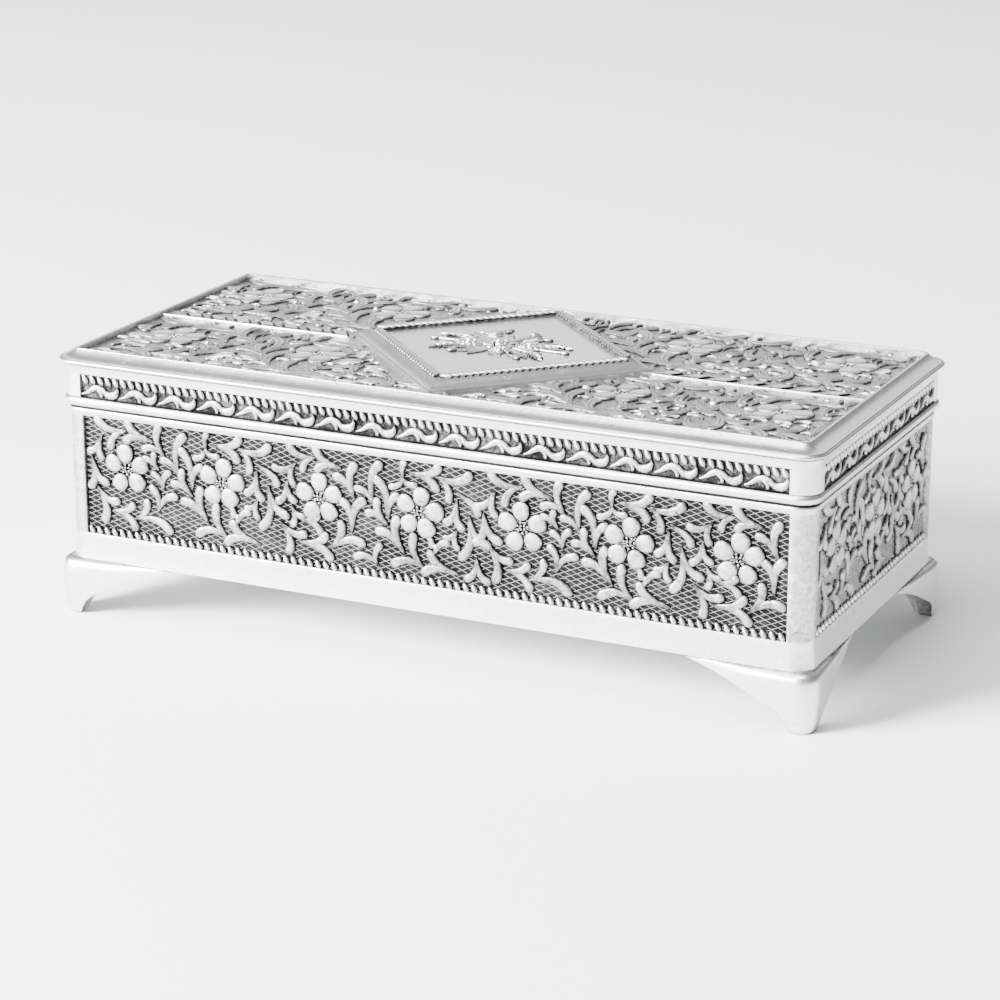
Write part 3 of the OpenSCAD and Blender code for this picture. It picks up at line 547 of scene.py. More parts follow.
def net(form, seat, width, height, relief):
    """Two crossing sets of fine ridges over a ground that is width by height."""
    foot, top, ridge_lift = 0.13, 0.05, 0.82
    run = height * relief.net_w / relief.net_h
    for sign in (1, -1):
        for k in range(int((width + run) / relief.net_w) + 1):
            u0 = -width / 2 - run + (k + 0.5) * relief.net_w
            t0 = max(0, (-width / 2 - u0) / run)
            t1 = min(1, (width / 2 - u0) / run)
            if t1 - t0 < 0.02:
                continue
            rings = []
            for t in (t0, t1):
                u, v = sign * (u0 + t * run), t * height
                rings.append([(u - foot, v, -0.1), (u - top, v, relief.net_rise),
                              (u + top, v, relief.net_rise), (u + foot, v, -0.1)])
            form.loft(seat, rings, [form.low, ridge_lift, ridge_lift, form.low] * 2)


def rope(form, seat, width, rope_w, pitch, height, fat=0.36, lift=1.3, lean=None):
    """A row of leaning strands from end to end of a panel, with its foot at v = 0. fat is half
    a strand's width as a share of the pitch."""
    count = int(width / pitch)
    pitch = width / count
    half = rope_w / 2
    lean = math.tan(lean or sizes("relief").rope_lean)
    along = np.linspace(-0.72, 0.72, 5)
    for k in range(count):
        middle = (k + 0.5) * pitch - width / 2
        spine = [(middle - lean * half * t, half + half * t) for t in along]
        stroke(form, seat, spine, fat * pitch * np.sqrt(1 - 0.75 * along ** 2),
               height * np.sqrt(1 - 0.6 * along ** 2), lift, 7, box=0.8)


# ---- Pieces ----

def panel_stops(panel_w):
    """Columns that shape the ends of a sunk panel."""
    half = panel_w / 2
    return (-half - EDGE, -half, -half + EDGE, 0, half - EDGE, half, half + EDGE)


def wall(form, n, base_z, wall_h):
    """A wall from skirt to band, with net, rope and scroll in its sunk panel."""
    w, relief = sizes("walls"), sizes("relief")
    seat, run = side_seat(n, base_z), side_length(n)
    panel_w, top = run - 2 * w.post_w, wall_h - w.band_h

    def ring_at(u):
        sunk = abs(u) <= panel_w / 2 - EDGE + 1e-6
        rim = -EASE if sunk or abs(u) <= panel_w / 2 + 1e-6 else 0
        deep, lift = (-w.panel_sink, form.low) if sunk else (rim, POST_SHADE_LIFT)
        ring = [(h, v, 1) for h, v in bow((w.skirt_flare, 0), (0, w.skirt_h - EDGE), -0.12, 6)]
        ring += [(rim, w.skirt_h, 1), (deep, w.skirt_h + EDGE, lift)]
        ring += [(deep, top - EDGE, lift), (rim, top, 1)]
        ring += [(h, v, 1) for h, v in bow((0.02, top + EDGE), (0, wall_h), w.band_out, 8)]
        # Lift 0 at the band's top edge paints the shadow in the gap under the lid's bead; the
        # wall's top face stays bright.
        ring[-2:] = [(h, v, 0) for h, v, _ in ring[-2:]]
        ring += [(-0.06, wall_h, 0), (-0.3, wall_h, 0.9), (-w.wall_t, wall_h, 0.9)]
        return ring + [(-w.wall_t, 0, 1)]

    moulding(form, seat, run, w.post_r, ring_at, panel_stops(panel_w))
    ground = seat.at(0, w.skirt_h + EDGE, -w.panel_sink)
    field_w, field_h = panel_w - 2 * EDGE, top - w.skirt_h - 2 * EDGE
    net(form, ground, field_w, field_h, relief)
    rope(form, seat.at(0, w.skirt_h, -w.panel_sink), field_w, w.rope_w, relief.rope_pitch,
         w.panel_sink)
    scroll(form, ground, field_w, field_h, w.rope_w, relief.flower_pitch, relief.leaf_r,
           relief.relief, 0.8 * relief.leaf_r)


# A leaf of the frieze: the spines and half widths of its strokes.
FRIEZE_PITCH = 9.4
FRIEZE_STROKES = (
    (((0.35, 0.8), (1.6, 1.3), (3.0, 2.2), (4.2, 2.4), (5.4, 2.0), (6.2, 1.4)),
     (0.18, 0.5, 0.75, 0.85, 0.75, 0.6)),
    (((4.3, 2.1), (4.95, 1.3), (5.0, 0.75)), (0.6, 0.5, 0.45)),
    (((5.6, 1.8), (6.6, 1.15), (7.7, 1.1), (8.5, 1.6), (8.95, 2.4), (8.95, 3.0)),
     (0.6, 0.85, 1.0, 0.85, 0.45, 0.16)))


def frieze(form, seat, width):
    """A row of the frieze's leaves from end to end of its ground."""
    count = int(width / FRIEZE_PITCH + 0.5)
    pitch = width / count
    for k in range(count):
        part = seat.at(-width / 2 + k * pitch, 0)
        for spine, widths in FRIEZE_STROKES:
            n = 3 * len(spine)
            at = np.linspace(0, 1, n)
            wide = np.interp(at, np.linspace(0, 1, len(widths)), widths)
            path = curve(spine, n) * (pitch / FRIEZE_PITCH, 1)
            stroke(form, part, path, wide, sizes("lid").frieze_sink, box=0.65)


def rail(form, n, base_z, rail_h):
    """A side of the lid's frame: bead, frieze, rope, fascia, arris and hollow slope."""
    d, w = sizes("lid"), sizes("walls")
    seat, run = side_seat(n, base_z), side_length(n)
    panel_w = run - 2 * w.post_w
    frieze_lift = max(form.low, 0.32)
    low, high = d.bead_h, d.bead_h + d.frieze_h + d.rope_w
    rim = high + d.fascia_h
    slope = rim + d.arris_h
    plate_low = node_box("lid_top_plate")[0][2] - base_z
    reach = d.rim_in + d.ledge_w

    def ring_at(u):
        sunk = abs(u) <= panel_w / 2 - EDGE + 1e-6
        deep, lift = (d.lid_out - d.frieze_sink, frieze_lift) if sunk else (d.lid_out, 1.0)
        # Low lifts at the bead's lower edge paint the shade in the gap over the wall, and 0.2 at
        # its top paints shade where it meets the frieze's ground.
        ring = [(d.lid_out - 0.4, 0, 0.9), (d.lid_out - 0.1, 0.02, 0), (d.lid_out + 0.1, 0.16, 0.5)]
        ring += [(h, v, 1) for h, v in bow((d.lid_out + 0.2, 0.3), (d.lid_out, low),
                                           d.bead_out - d.lid_out - 0.1, 8)]
        ring[-1] = (*ring[-1][:2], 0.2)
        ring += [(deep, low + EDGE, lift), (deep, high - EDGE, lift), (d.lid_out, high, 1)]
        ring += [(h, v, 1) for h, v in bow((d.lid_out + 0.04, high + 0.12),
                                           (d.lid_out + d.fascia_lean, rim - 0.1), -0.08, 4)]
        # Lift 0.1 paints the shadow under the overhanging arris; the lower lifts further on paint
        # shade along the rim's creases and where it meets the plate.
        ring += [(d.lid_out, rim, 0.1), (d.lid_out, rim + 0.25, 0.1)]
        ring += [(h, v, 1) for h, v in bow((d.arris_out - 0.5, rim + 0.25),
                                           (d.arris_out - 0.4, slope), 0.45, 8)]
        ring += [(d.arris_out - 0.55, slope - 0.05, 0.35)]
        ring += [(h, v, 1) for h, v in bow((d.arris_out - 0.7, slope + 0.1),
                                           (-d.rim_in + 0.75, rail_h - 0.2), -0.35, 8)]
        ring += [(-d.rim_in + 0.65, rail_h - 0.28, 0.3)]
        ring += [(h, v, 1) for h, v in bow((-d.rim_in + 0.6, rail_h - 0.1),
                                           (-d.rim_in, rail_h - 0.2), 0.14, 5)]
        ring += [(-d.rim_in, plate_low, 0), (-reach, plate_low, 1),
                 (-reach, plate_low - d.ledge_t, 1)]
        inner = -w.wall_t + 0.5
        return ring + [(inner, plate_low - d.ledge_t, 1), (inner, rim, 1),
                       (-w.wall_t, rim, 1), (-w.wall_t, 0, 0.9)]

    moulding(form, seat, run, d.lid_r, ring_at, panel_stops(panel_w))
    ground = seat.at(0, low, d.lid_out - d.frieze_sink)
    field_w = panel_w - 2 * EDGE
    frieze(form, ground, field_w)
    rope(form, ground.at(0, d.frieze_h - 0.2), field_w, d.rope_w - 0.1,
         sizes("relief").rope_pitch, d.frieze_sink)


# The lower edge of a foot's wing: shares of its length and of the foot's height.
FOOT_EDGE = ((0, 0), (0.05, 0.01), (0.08, 0.09), (0.115, 0.22), (0.17, 0.32), (0.25, 0.41),
             (0.38, 0.52), (0.57, 0.7), (0.8, 0.865), (1, 0.975))
# The swell at shares of the foot's height.
FOOT_BULGE = ((0, 0.4), (0.05, 0.58), (0.12, 0.72), (0.24, 0.85), (0.48, 0.98), (0.75, 1),
              (0.88, 0.9), (0.95, 0.68), (0.99, 0.35), (1, 0.15))


def foot(form, sx, sy, foot_h):
    """A bracket foot: its section is carried along one wing, round the corner and back."""
    f, flare = sizes("feet"), sizes("walls").skirt_flare
    half_w, half_d, mid_y = posts()
    seat = Seat((sx * half_w, mid_y + sy * half_d, 0), (1, 0, 0), (0, 1, 0))
    seat.axes *= np.array([[sx], [sy], [1]])
    bulge = np.array(FOOT_BULGE)
    edge = curve(FOOT_EDGE, 60)
    heights = np.concatenate([np.linspace(0, 0.1, 4), np.linspace(0.2, 0.7, 6),
                              1 - 0.25 * np.cos(np.linspace(0, math.pi / 2, 9))])
    start, inner_shade = f.shoulder_r, (0.9, 0.8)

    def ring(t):
        low = np.interp(t, edge[:, 0], edge[:, 1]) * foot_h
        swell = f.foot_swell * (1 - t ** 1.7)
        z = low + (foot_h - low) * heights
        out = flare + swell * np.interp(z / foot_h, bulge[:, 0], bulge[:, 1])
        # Painted shade: a dark line at the top where the foot meets the skirt, a darker outline
        # along its lower edge, and a slightly darker inner face and underside.
        shade = np.clip((1 - z / foot_h) / 0.03, 0.5, 1) * np.clip(0.5 + 12 * heights, 0, 1)
        return (np.append(out, (-f.foot_in, -f.foot_in)), np.append(z, (foot_h, low)),
                np.append(shade, inner_shade))

    steps = np.linspace(1, 0, 25) ** 1.3
    rings, lifts = [], []
    for t in steps:
        out, z, shade = ring(t)
        rings.append(np.stack([np.full(len(z), -start - t * (f.foot_l - start)), out, z], 1))
        lifts.append(shade)
    out, z, shade = ring(0)
    for turn in np.radians(np.linspace(0, 90, 13))[1:-1]:
        rings.append(np.stack([-start + (start + out) * math.sin(turn),
                               -start + (start + out) * math.cos(turn), z], 1))
        lifts.append(shade)
    for t in reversed(steps):
        out, z, shade = ring(t)
        rings.append(np.stack([out, np.full(len(z), -start - t * (f.foot_l - start)), z], 1))
        lifts.append(shade)
    form.loft(seat, rings, lifts)


def lid_plate(form):
    """The panel inside the rim: a scroll in front of a studded strip and one behind it."""
    relief = sizes("relief")
    low, high = node_box("lid_top_plate")
    ground = node_box("diamond_plaque")[0][2]
    middle = (low + high) / 2
    width, depth = high[0] - low[0], high[1] - low[1]
    seat = Seat((middle[0], middle[1], ground), (1, 0, 0), (0, 1, 0))
    corners = [(-width / 2, -depth / 2), (width / 2, -depth / 2), (width / 2, depth / 2),
               (-width / 2, depth / 2)]
    form.loft(seat, [[(u, v, h) for u, v in corners] for h in (low[2] - ground, 0)],
              form.low)
    plaque_low, plaque_high = node_box("diamond_plaque")
    reach = (plaque_high[0] - plaque_low[0]) / 2
    side_d = (depth - relief.strip_w) / 2
    for start in (-depth / 2, relief.strip_w / 2):
        scroll(form, seat.at(0, start), width, side_d, 0, relief.lid_flower_pitch,
               relief.lid_leaf_r, relief.lid_relief,
               clear=lambda u, v: abs(u) + abs(v + start) < reach + 2)
    for side in (-1, 1):
        strip(form, seat.at(0, 0, 0, (side, 1)), reach + 0.3, width / 2, relief)


def strip(form, seat, start, stop, relief):
    """A plain strip from the plaque to the rim, with a bright line along its front edge and a
    row of slanted studs."""
    half, rise = relief.strip_w / 2, relief.lid_relief
    bed = [(start, half), (start, -half), (stop, -half), (stop, half)]
    form.loft(seat, [[(u, v, h) for u, v in bed] for h in (-0.1, 0.6 * rise)],
              [form.low] * 4 + [0.62] * 4)
    stroke(form, seat, [(u, -half + 0.3) for u in np.linspace(start + 0.5, stop - 0.5, 8)],
           [0.27] * 8, 1.25 * rise, sides=7)
    for k in range(int((stop - start - 2) / relief.stud_pitch)):
        u = start + (k + 0.5) * relief.stud_pitch
        outline = np.array([(-1.8, -1), (1.2, -1.2), (3, 1.2), (-0.2, 1.4)]) + (u, 0.3)
        centre = outline.mean(0)
        rings, lifts = [], []
        # The studs' lifts paint shade: a dark ring on the strip round each stud, darker sides and a
        # bright top.
        for scale, h, lift in ((1.4, 0.5, 0.3), (1.38, 0.62, 0), (0.98, 0.63, 0), (0.94, 1.0, 0.5),
                               (0.78, 1.12, 0.9)):
            flat = centre + (outline - centre) * scale
            rings.append([(x, y, h * rise) for x, y in flat])
            lifts.append([lift] * 4)
        form.loft(seat, rings, lifts)


def plaque(form):
    """The diamond: a hollow slope up to a rope, round a plain field that bears a spray."""
    p, relief = sizes("plaque"), sizes("relief")
    low, high = node_box("diamond_plaque")
    middle = (low + high) / 2
    side = (high[0] - low[0]) / math.sqrt(2)
    crest = p.edge_h + p.rise
    inner = p.slope_w + p.rope_w
    field = crest - p.sink
    section = [(-inner - 1, 0, 1), (0, 0, 0.6), (0, 0.3, 1)]
    section += [(h, v, 1) for h, v in bow((0, 0.35), (-0.75, p.edge_h), 0.3, 8)]
    section += [(h, v, 1) for h, v in bow((-0.85, p.edge_h - 0.1), (-p.slope_w, crest), -0.2, 8)]
    section += [(-p.slope_w - 0.1, crest - 0.15, 0.45), (-inner, crest - 0.15, 0.45),
                (-inner - 0.1, field, 0.45), (-inner - 1, field, 1)]
    for n in range(4):
        turn = math.radians(45 + 90 * n)
        along = (math.cos(turn), math.sin(turn), 0)
        out = np.cross(along, (0, 0, 1))
        seat = Seat(np.array([middle[0], middle[1], low[2]]) + out * side / 2, along, (0, 0, 1))
        moulding(form, seat, side, 0, lambda u: section)
        flat = Seat(seat.origin - out * inner + np.array([0, 0, crest - 0.15]), along, -out)
        flat.axes[1], flat.axes[2] = out, (0, 0, 1)
        rope(form, flat, side - 2 * inner, p.rope_w, p.rope_pitch, 0.72, 0.4, 1.3,
             math.radians(-48))
    half = side / 2 - inner - 0.9
    bed = Seat((middle[0], middle[1], low[2] + field), (1, 0, 0), (0, 1, 0))
    slant = math.sqrt(0.5)
    tilted = Seat((middle[0], middle[1], low[2]), (slant, slant, 0), (-slant, slant, 0))
    square = ((-half, -half), (half, -half), (half, half), (-half, half))
    form.loft(tilted, [[(u, v, h) for u, v in square] for h in (0.1, field)])
    spray(form, bed, relief, high[2] - low[2] - field)


def blade(form, seat, root, tip, half, height, sag):
    """A pointed leaf with a creased back."""
    t = np.linspace(0, 1, 12)
    stroke(form, seat, bow(root, tip, sag, 11), 0.06 + half * np.sin(math.pi * t ** 0.85) ** 0.9,
           height * (0.6 + 0.4 * np.sin(math.pi * t)), sides=11, crease=0.45, box=0.6)


def rose(form, seat, u, v, size, height, chance):
    """Rings of petals that climb and overlap inwards to a bud."""
    rings = ((0.8, 8, 0.3, 0.5), (0.58, 7, 0.28, 0.7), (0.36, 5, 0.24, 0.87), (0.15, 3, 0.16, 0.97))
    for ring, count, half, rise in rings:
        for k in range(count):
            turn = 2 * math.pi * (k + rise) / count + chance.uniform(-0.2, 0.2)
            grow = size * chance.uniform(0.9, 1.1)
            dome(form, seat, u + ring * grow * math.cos(turn), v + ring * grow * math.sin(turn),
                 0.62 * half * size, half * grow, height * rise, turn + chance.uniform(-0.3, 0.3),
                 n=12)
    dome(form, seat, u, v, 0.09 * size, 0.09 * size, height, n=8)


def fern(form, seat, path, rise):
    """A stem with pairs of leaflets that shrink towards its tip."""
    stem = curve(path, 12)
    stroke(form, seat, stem, np.linspace(0.3, 0.14, 12), 0.5 * rise, sides=7)
    for k in range(2, 12, 2):
        way = stem[k] - stem[k - 1]
        way = way / np.linalg.norm(way)
        long = 2.9 - 0.14 * k
        for side in (-1, 1):
            heading = turned(way, 0.8 * side)
            blade(form, seat, stem[k] + 0.1 * heading, stem[k] + long * heading, 0.16 * long,
                  0.55 * rise, 0.12 * side)
    blade(form, seat, stem[-1], stem[-1] + 2.2 * way, 0.4, 0.55 * rise, 0.1)


def spray(form, seat, relief, rise):
    """Roses in a burst of leaves, ferns and buds on the plaque's field."""
    chance = np.random.default_rng(relief.seed)
    leaves = 16
    for k in range(leaves):
        turn = 2 * math.pi * (k + 0.25) / leaves + chance.uniform(-0.1, 0.1)
        heading = np.array([math.cos(turn), math.sin(turn)])
        reach = (8.2 + 4.6 * abs(heading[0])) * chance.uniform(0.86, 1.08)
        blade(form, seat, 2.5 * heading, reach * heading, 1.5, 0.4 * rise,
              chance.uniform(0.4, 1.0) * (1 if k % 2 else -1))
    for side in (-1, 1):
        fern(form, seat, [(5 * side, 1), (9.6 * side, 3.4), (13.5 * side, 3.2)], rise)
        fern(form, seat, [(4 * side, -2), (8.6 * side, -3.8), (11.6 * side, -6.3)], rise)
        fern(form, seat, [(2 * side, 3), (4.3 * side, 7), (3.4 * side, 10.4)], rise)
        for tip in ((15.2, -0.6), (7.5, -8.2), (7.8, 7.6)):
            stem = curve([(4 * side, 0.3 * tip[1]), (0.6 * tip[0] * side, 0.75 * tip[1]),
                          (tip[0] * side, tip[1])], 10)
            stroke(form, seat, stem, np.full(10, 0.22), 0.4 * rise, sides=7)
            heading = stem[-1] - stem[-2]
            dome(form, seat, *stem[-1], 1.1, 0.7, 0.6 * rise, math.atan2(heading[1], heading[0]),
                 egg=0.2)
        rose(form, seat, 6.6 * side, 1.2 * side, 3.4, 0.85 * rise, chance)
    rose(form, seat, 1.8, -3.9, 2.7, 0.8 * rise, chance)
    rose(form, seat, -0.3, 0.6, 4.3, rise, chance)


def pad_mesh(name, node, along, up, notches=()):
    """A velvet pad in its node's box, with rounded edges and a slightly uneven nap. Notches are
    (u0, u1, v0) in the pad's own plane, open at its top."""
    low, high = node_box(node)
    seat = Seat((low + high) / 2, along, up)
    wide, tall, thick = np.abs(seat.axes @ (high - low))
    seat.origin = seat.origin - seat.axes[2] * thick / 2
    edge, cell, roomy, insets = 0.9, 3.0, 4, (0.12, 0.35, 0.8)
    us = {-wide / 2, wide / 2}
    for u0, u1, _ in notches:
        us |= {u0, u1}
    vs = {-tall / 2, tall / 2} | {v0 for _, _, v0 in notches}

    def lines(stops):
        """Places of the grid's lines between the stops, closer together beside them."""
        stops, found = sorted(stops), []
        for a, b in zip(stops, stops[1:]):
            found += list(np.linspace(a, b, max(2, int((b - a) / cell)) + 1))
            if b - a > roomy:
                found += [place for inset in insets for place in (a + inset, b - inset)]
        return np.unique(np.round(found, 4))

    us, vs = lines(us), lines(vs)

    def gone(u, v):
        return any(u0 < u < u1 and v > v0 for u0, u1, v0 in notches)

    def depth(u, v):
        d = min(wide / 2 - abs(u), tall / 2 - abs(v))
        for u0, u1, v0 in notches:
            d = min(d, math.hypot(max(u0 - u, 0, u - u1), max(v0 - v, 0)))
        return max(d, 0)

    def pile(u, v):
        """Height of the pad's face, rounded off towards its edge."""
        q = min(depth(u, v) / edge, 1)
        nap = 0.03 * math.sin(0.31 * u + 0.2 * v) * math.sin(0.27 * v - 0.11 * u)
        return thick * (0.45 + 0.52 * math.sqrt(1 - (1 - q) ** 2)) * (1 + min(nap, 0.03) * q)

    cells = [(i, j) for i in range(len(us) - 1) for j in range(len(vs) - 1)
             if not gone((us[i] + us[i + 1]) / 2, (vs[j] + vs[j + 1]) / 2)]
    corners = ((0, 0), (1, 0), (1, 1), (0, 1))
    places = sorted({(i + a, j + b) for i, j in cells for a, b in corners})
    number = {place: k for k, place in enumerate(places)}
    count = len(places)
    under = [(us[i], vs[j], 0) for i, j in places]
    upper = [(u, v, pile(u, v)) for u, v, _ in under]
    rings = [[number[i + a, j + b] for a, b in corners] for i, j in cells]
    edges = {pair for ring in rings for pair in zip(ring, ring[1:] + ring[:1])}
    faces = [ring[::-1] for ring in rings] + [[k + count for k in ring] for ring in rings]
    faces += [(a, b, b + count, a + count) for a, b in sorted(edges) if (b, a) not in edges]
    mesh = bpy.data.meshes.new(name)
    mesh.from_pydata(seat.place(under + upper).tolist(), [], faces)
    mesh.shade_smooth()
    return mesh


# ---- Shaders ----

class Value:
    """What flows out of a shader node. Maths on it adds nodes, so it reads as an expression."""

    def __init__(self, shader, socket):
        self.shader, self.socket = shader, socket

    def math(self, operation, *others):
        kind = {"operation": operation}
        made = self.shader.node("ShaderNodeMath", kind, dict(enumerate((self, *others))))
        return Value(self.shader, made.outputs[0])

    def __add__(self, other):
        return self.math("ADD", other)

    def __sub__(self, other):
        return self.math("SUBTRACT", other)

    def __mul__(self, other):
        return self.math("MULTIPLY", other)

    def __rsub__(self, other):
        return (self * -1.0) + other

    __radd__ = __add__
    __rmul__ = __mul__

    def fit(self, low, high):
        """0 below low, 1 above high and smooth between them."""
        made = self.shader.node("ShaderNodeMapRange", {"interpolation_type": "SMOOTHSTEP"},
                                {"Value": self, "From Min": low, "From Max": high})
        return Value(self.shader, made.outputs["Result"])


class Shader:
    """A material on one Principled shader."""

    def __init__(self, name, **constants):
        self.material = bpy.data.materials.new(name)
        self.material.use_nodes = True
        self.tree = self.material.node_tree
        self.surface = self.tree.nodes["Principled BSDF"]
        for socket, value in constants.items():
            self.surface.inputs[socket.replace("_", " ")].default_value = value

    def node(self, kind, settings, sockets):
        """Any node: its settings first, then the values or links of its sockets."""
        made = self.tree.nodes.new(kind)
        for key, value in settings.items():
            setattr(made, key, value)
        for key, value in sockets.items():
            self.feed(made.inputs[key], value)
        return made

    def feed(self, socket, value):
        if isinstance(value, Value):
            self.tree.links.new(value.socket, socket)
        elif hasattr(value, "__len__") and len(value) == 3 and socket.type == "RGBA":
            socket.default_value = (*value, 1)
        else:
            socket.default_value = value

    def value(self, kind, settings, sockets, output=0):
        return Value(self, self.node(kind, settings, sockets).outputs[output])

    def position(self):
        return self.value("ShaderNodeTexCoord", {}, {}, "Object")

    def noise(self, scale, detail=3.0, rough=0.5, where=None):
        sockets = {"Vector": where or self.position(), "Scale": scale, "Detail": detail,
                   "Roughness": rough}
        return self.value("ShaderNodeTexNoise", {}, sockets, "Fac")

    def attribute(self, name):
        return self.value("ShaderNodeAttribute", {"attribute_name": name}, {}, "Fac")

    def mix(self, amount, a, b):
        """The colour a where the amount is 0 and b where it is 1."""
        made = self.node("ShaderNodeMix", {"data_type": "RGBA"}, {0: amount, 6: a, 7: b})
        return Value(self, made.outputs[2])

    def bump(self, height, distance):
        sockets = {"Height": height, "Distance": distance, "Strength": 1.0}
        return self.value("ShaderNodeBump", {}, sockets, "Normal")

    def stretched(self, scale):
        return self.value("ShaderNodeMapping", {}, {"Vector": self.position(), "Scale": scale})

    def finish(self, **inputs):
        for key, value in inputs.items():
            self.feed(self.surface.inputs[key.replace("_", " ")], value)
        return self.material


def antique_silver():
    """Satin silver on top of the relief, and dark where the lift is low: oxidised where it sinks
    and painted shade in gaps, creases and at the foot of the relief, with the casting's pits.
    """
    f = sizes("finish")
    s = Shader("antique_silver", Metallic=1.0)
    lift = s.attribute("lift")
    cloud, grain, orange = s.noise(110, 4), s.noise(3200, 3, 0.6), s.noise(900, 2)
    pits = 1 - s.noise(1500, 2).fit(0.24, 0.32)
    uneven = (cloud - 0.5) * 0.25 + (orange - 0.5) * 0.4 + (grain - 0.5) * 0.45
    bright = (lift + uneven - pits * 0.4).fit(0.25, 0.98)
    metal = s.mix(orange.fit(0.3, 0.7), [c * 0.93 for c in f.silver], list(f.silver))
    dark = s.mix(cloud.fit(0.3, 0.7), [c * 0.7 for c in f.tarnish_and_shade], [c * 1.4 for c in f.tarnish_and_shade])
    rough = f.gloss + 0.12 * (grain - 0.5) + (1 - bright) * 0.25 + (cloud - 0.5) * 0.1
    height = grain * 0.7 + orange * 1.8 - pits * 1.5
    return s.finish(Base_Color=s.mix(bright, dark, metal), Roughness=rough,
                    Normal=s.bump(height, 0.00003))


def plated_steel():
    """Sheet with fine lines along its length."""
    f = sizes("finish")
    s = Shader("plated_steel", Metallic=1.0)
    lines = s.noise(900, 4, 0.6, s.stretched((0.06, 1, 1)))
    cloud = s.noise(120, 3)
    tone = s.mix(cloud.fit(0.3, 0.7), [c * 0.9 for c in f.steel], list(f.steel))
    return s.finish(Base_Color=tone, Roughness=0.3 + lines * 0.14,
                    Normal=s.bump(lines, 0.00001))


def velvet():
    """Short, nearly black pile with a soft nap."""
    f = sizes("finish")
    s = Shader("black_velvet", Metallic=0.0, Sheen_Weight=0.05, Sheen_Roughness=0.35)
    s.surface.inputs["Sheen Tint"].default_value = (0.5, 0.5, 0.56, 1)
    pile = s.noise(5200, 2, 0.7)
    nap = s.noise(160, 4, 0.6)
    tone = s.mix(nap.fit(0.35, 0.7), [c * 0.85 for c in f.velvet], [c * 1.3 for c in f.velvet])
    return s.finish(Base_Color=tone, Roughness=0.8 + 0.15 * (pile - 0.5),
                    Normal=s.bump(pile + nap * 0.6, 0.0002))


def pale_paper():
    """The matt floor of the stage."""
    f = sizes("finish")
    s = Shader("pale_paper", Metallic=0.0, Roughness=0.75)
    return s.finish(Base_Color=s.mix(s.noise(6, 2), list(f.paper), [c * 0.99 for c in f.paper]))


# Names of the materials that are already made, by the functions that make them.
MADE = {}


def shared(make):
    """The material that make() builds, made once."""
    found = bpy.data.materials.get(MADE.get(make, ""))
    if found is None:
        found = make()
        MADE[make] = found.name
    return found


# ---- Operators ----

class KEEPSAKE_OT_walls(bpy.types.Operator):
    """Casts the four walls with their flowered panels"""
    bl_idname = "keepsake.walls"
    bl_label = "Walls"
    bl_options = {"REGISTER", "UNDO"}

    def execute(self, context):
        for n, side in enumerate(SIDES):
            low, high = node_box(side + "_wall")
            form = Form(*(SIDE_TONES if n else FRONT_TONES))
            wall(form, n, low[2], high[2] - low[2])
            piece(side + "_wall_casting", form, "case", "antique_silver", shared(antique_silver),
                  side + "_wall")
        return {"FINISHED"}


class KEEPSAKE_OT_feet(bpy.types.Operator):
    """Casts the four bracket feet"""
    bl_idname = "keepsake.feet"
    bl_label = "Feet"
    bl_options = {"REGISTER", "UNDO"}

    def execute(self, context):
        for sy, row in ((-1, "front"), (1, "back")):
            for sx, end in ((-1, "left"), (1, "right")):
                node = f"foot_{row}_{end}"
                form = Form()
                foot(form, sx, sy, node_box(node)[1][2])
                piece(node + "_casting", form, "case", "antique_silver", shared(antique_silver),
                      node)
        return {"FINISHED"}


class KEEPSAKE_OT_rails(bpy.types.Operator):
    """Casts the four sides of the lid's frame"""
    bl_idname = "keepsake.rails"
    bl_label = "Lid Rails"
    bl_options = {"REGISTER", "UNDO"}

    def execute(self, context):
        for n, side in enumerate(SIDES):
            node = f"lid_{side}_rail"
            low, high = node_box(node)
            form = Form(*(SIDE_TONES if n else FRONT_TONES))
            rail(form, n, low[2], high[2] - low[2])
            piece(node + "_casting", form, "lid", "antique_silver", shared(antique_silver), node)
        return {"FINISHED"}


class KEEPSAKE_OT_lid_plate(bpy.types.Operator):
    """Casts the relief plate inside the lid's frame"""
    bl_idname = "keepsake.lid_plate"
    bl_label = "Lid Plate"
    bl_options = {"REGISTER", "UNDO"}

    def execute(self, context):
        form = Form(*LID_TONES)
        lid_plate(form)
        piece("lid_top_plate_casting", form, "lid", "antique_silver", shared(antique_silver),
              "lid_top_plate")
        return {"FINISHED"}


class KEEPSAKE_OT_plaque(bpy.types.Operator):
    """Casts the diamond plaque with its spray of roses"""
    bl_idname = "keepsake.plaque"
    bl_label = "Plaque"
    bl_options = {"REGISTER", "UNDO"}

    def execute(self, context):
        form = Form(*PLAQUE_TONES)
        plaque(form)
        piece("diamond_plaque_casting", form, "lid", "antique_silver", shared(antique_silver),
              "diamond_plaque")
        return {"FINISHED"}


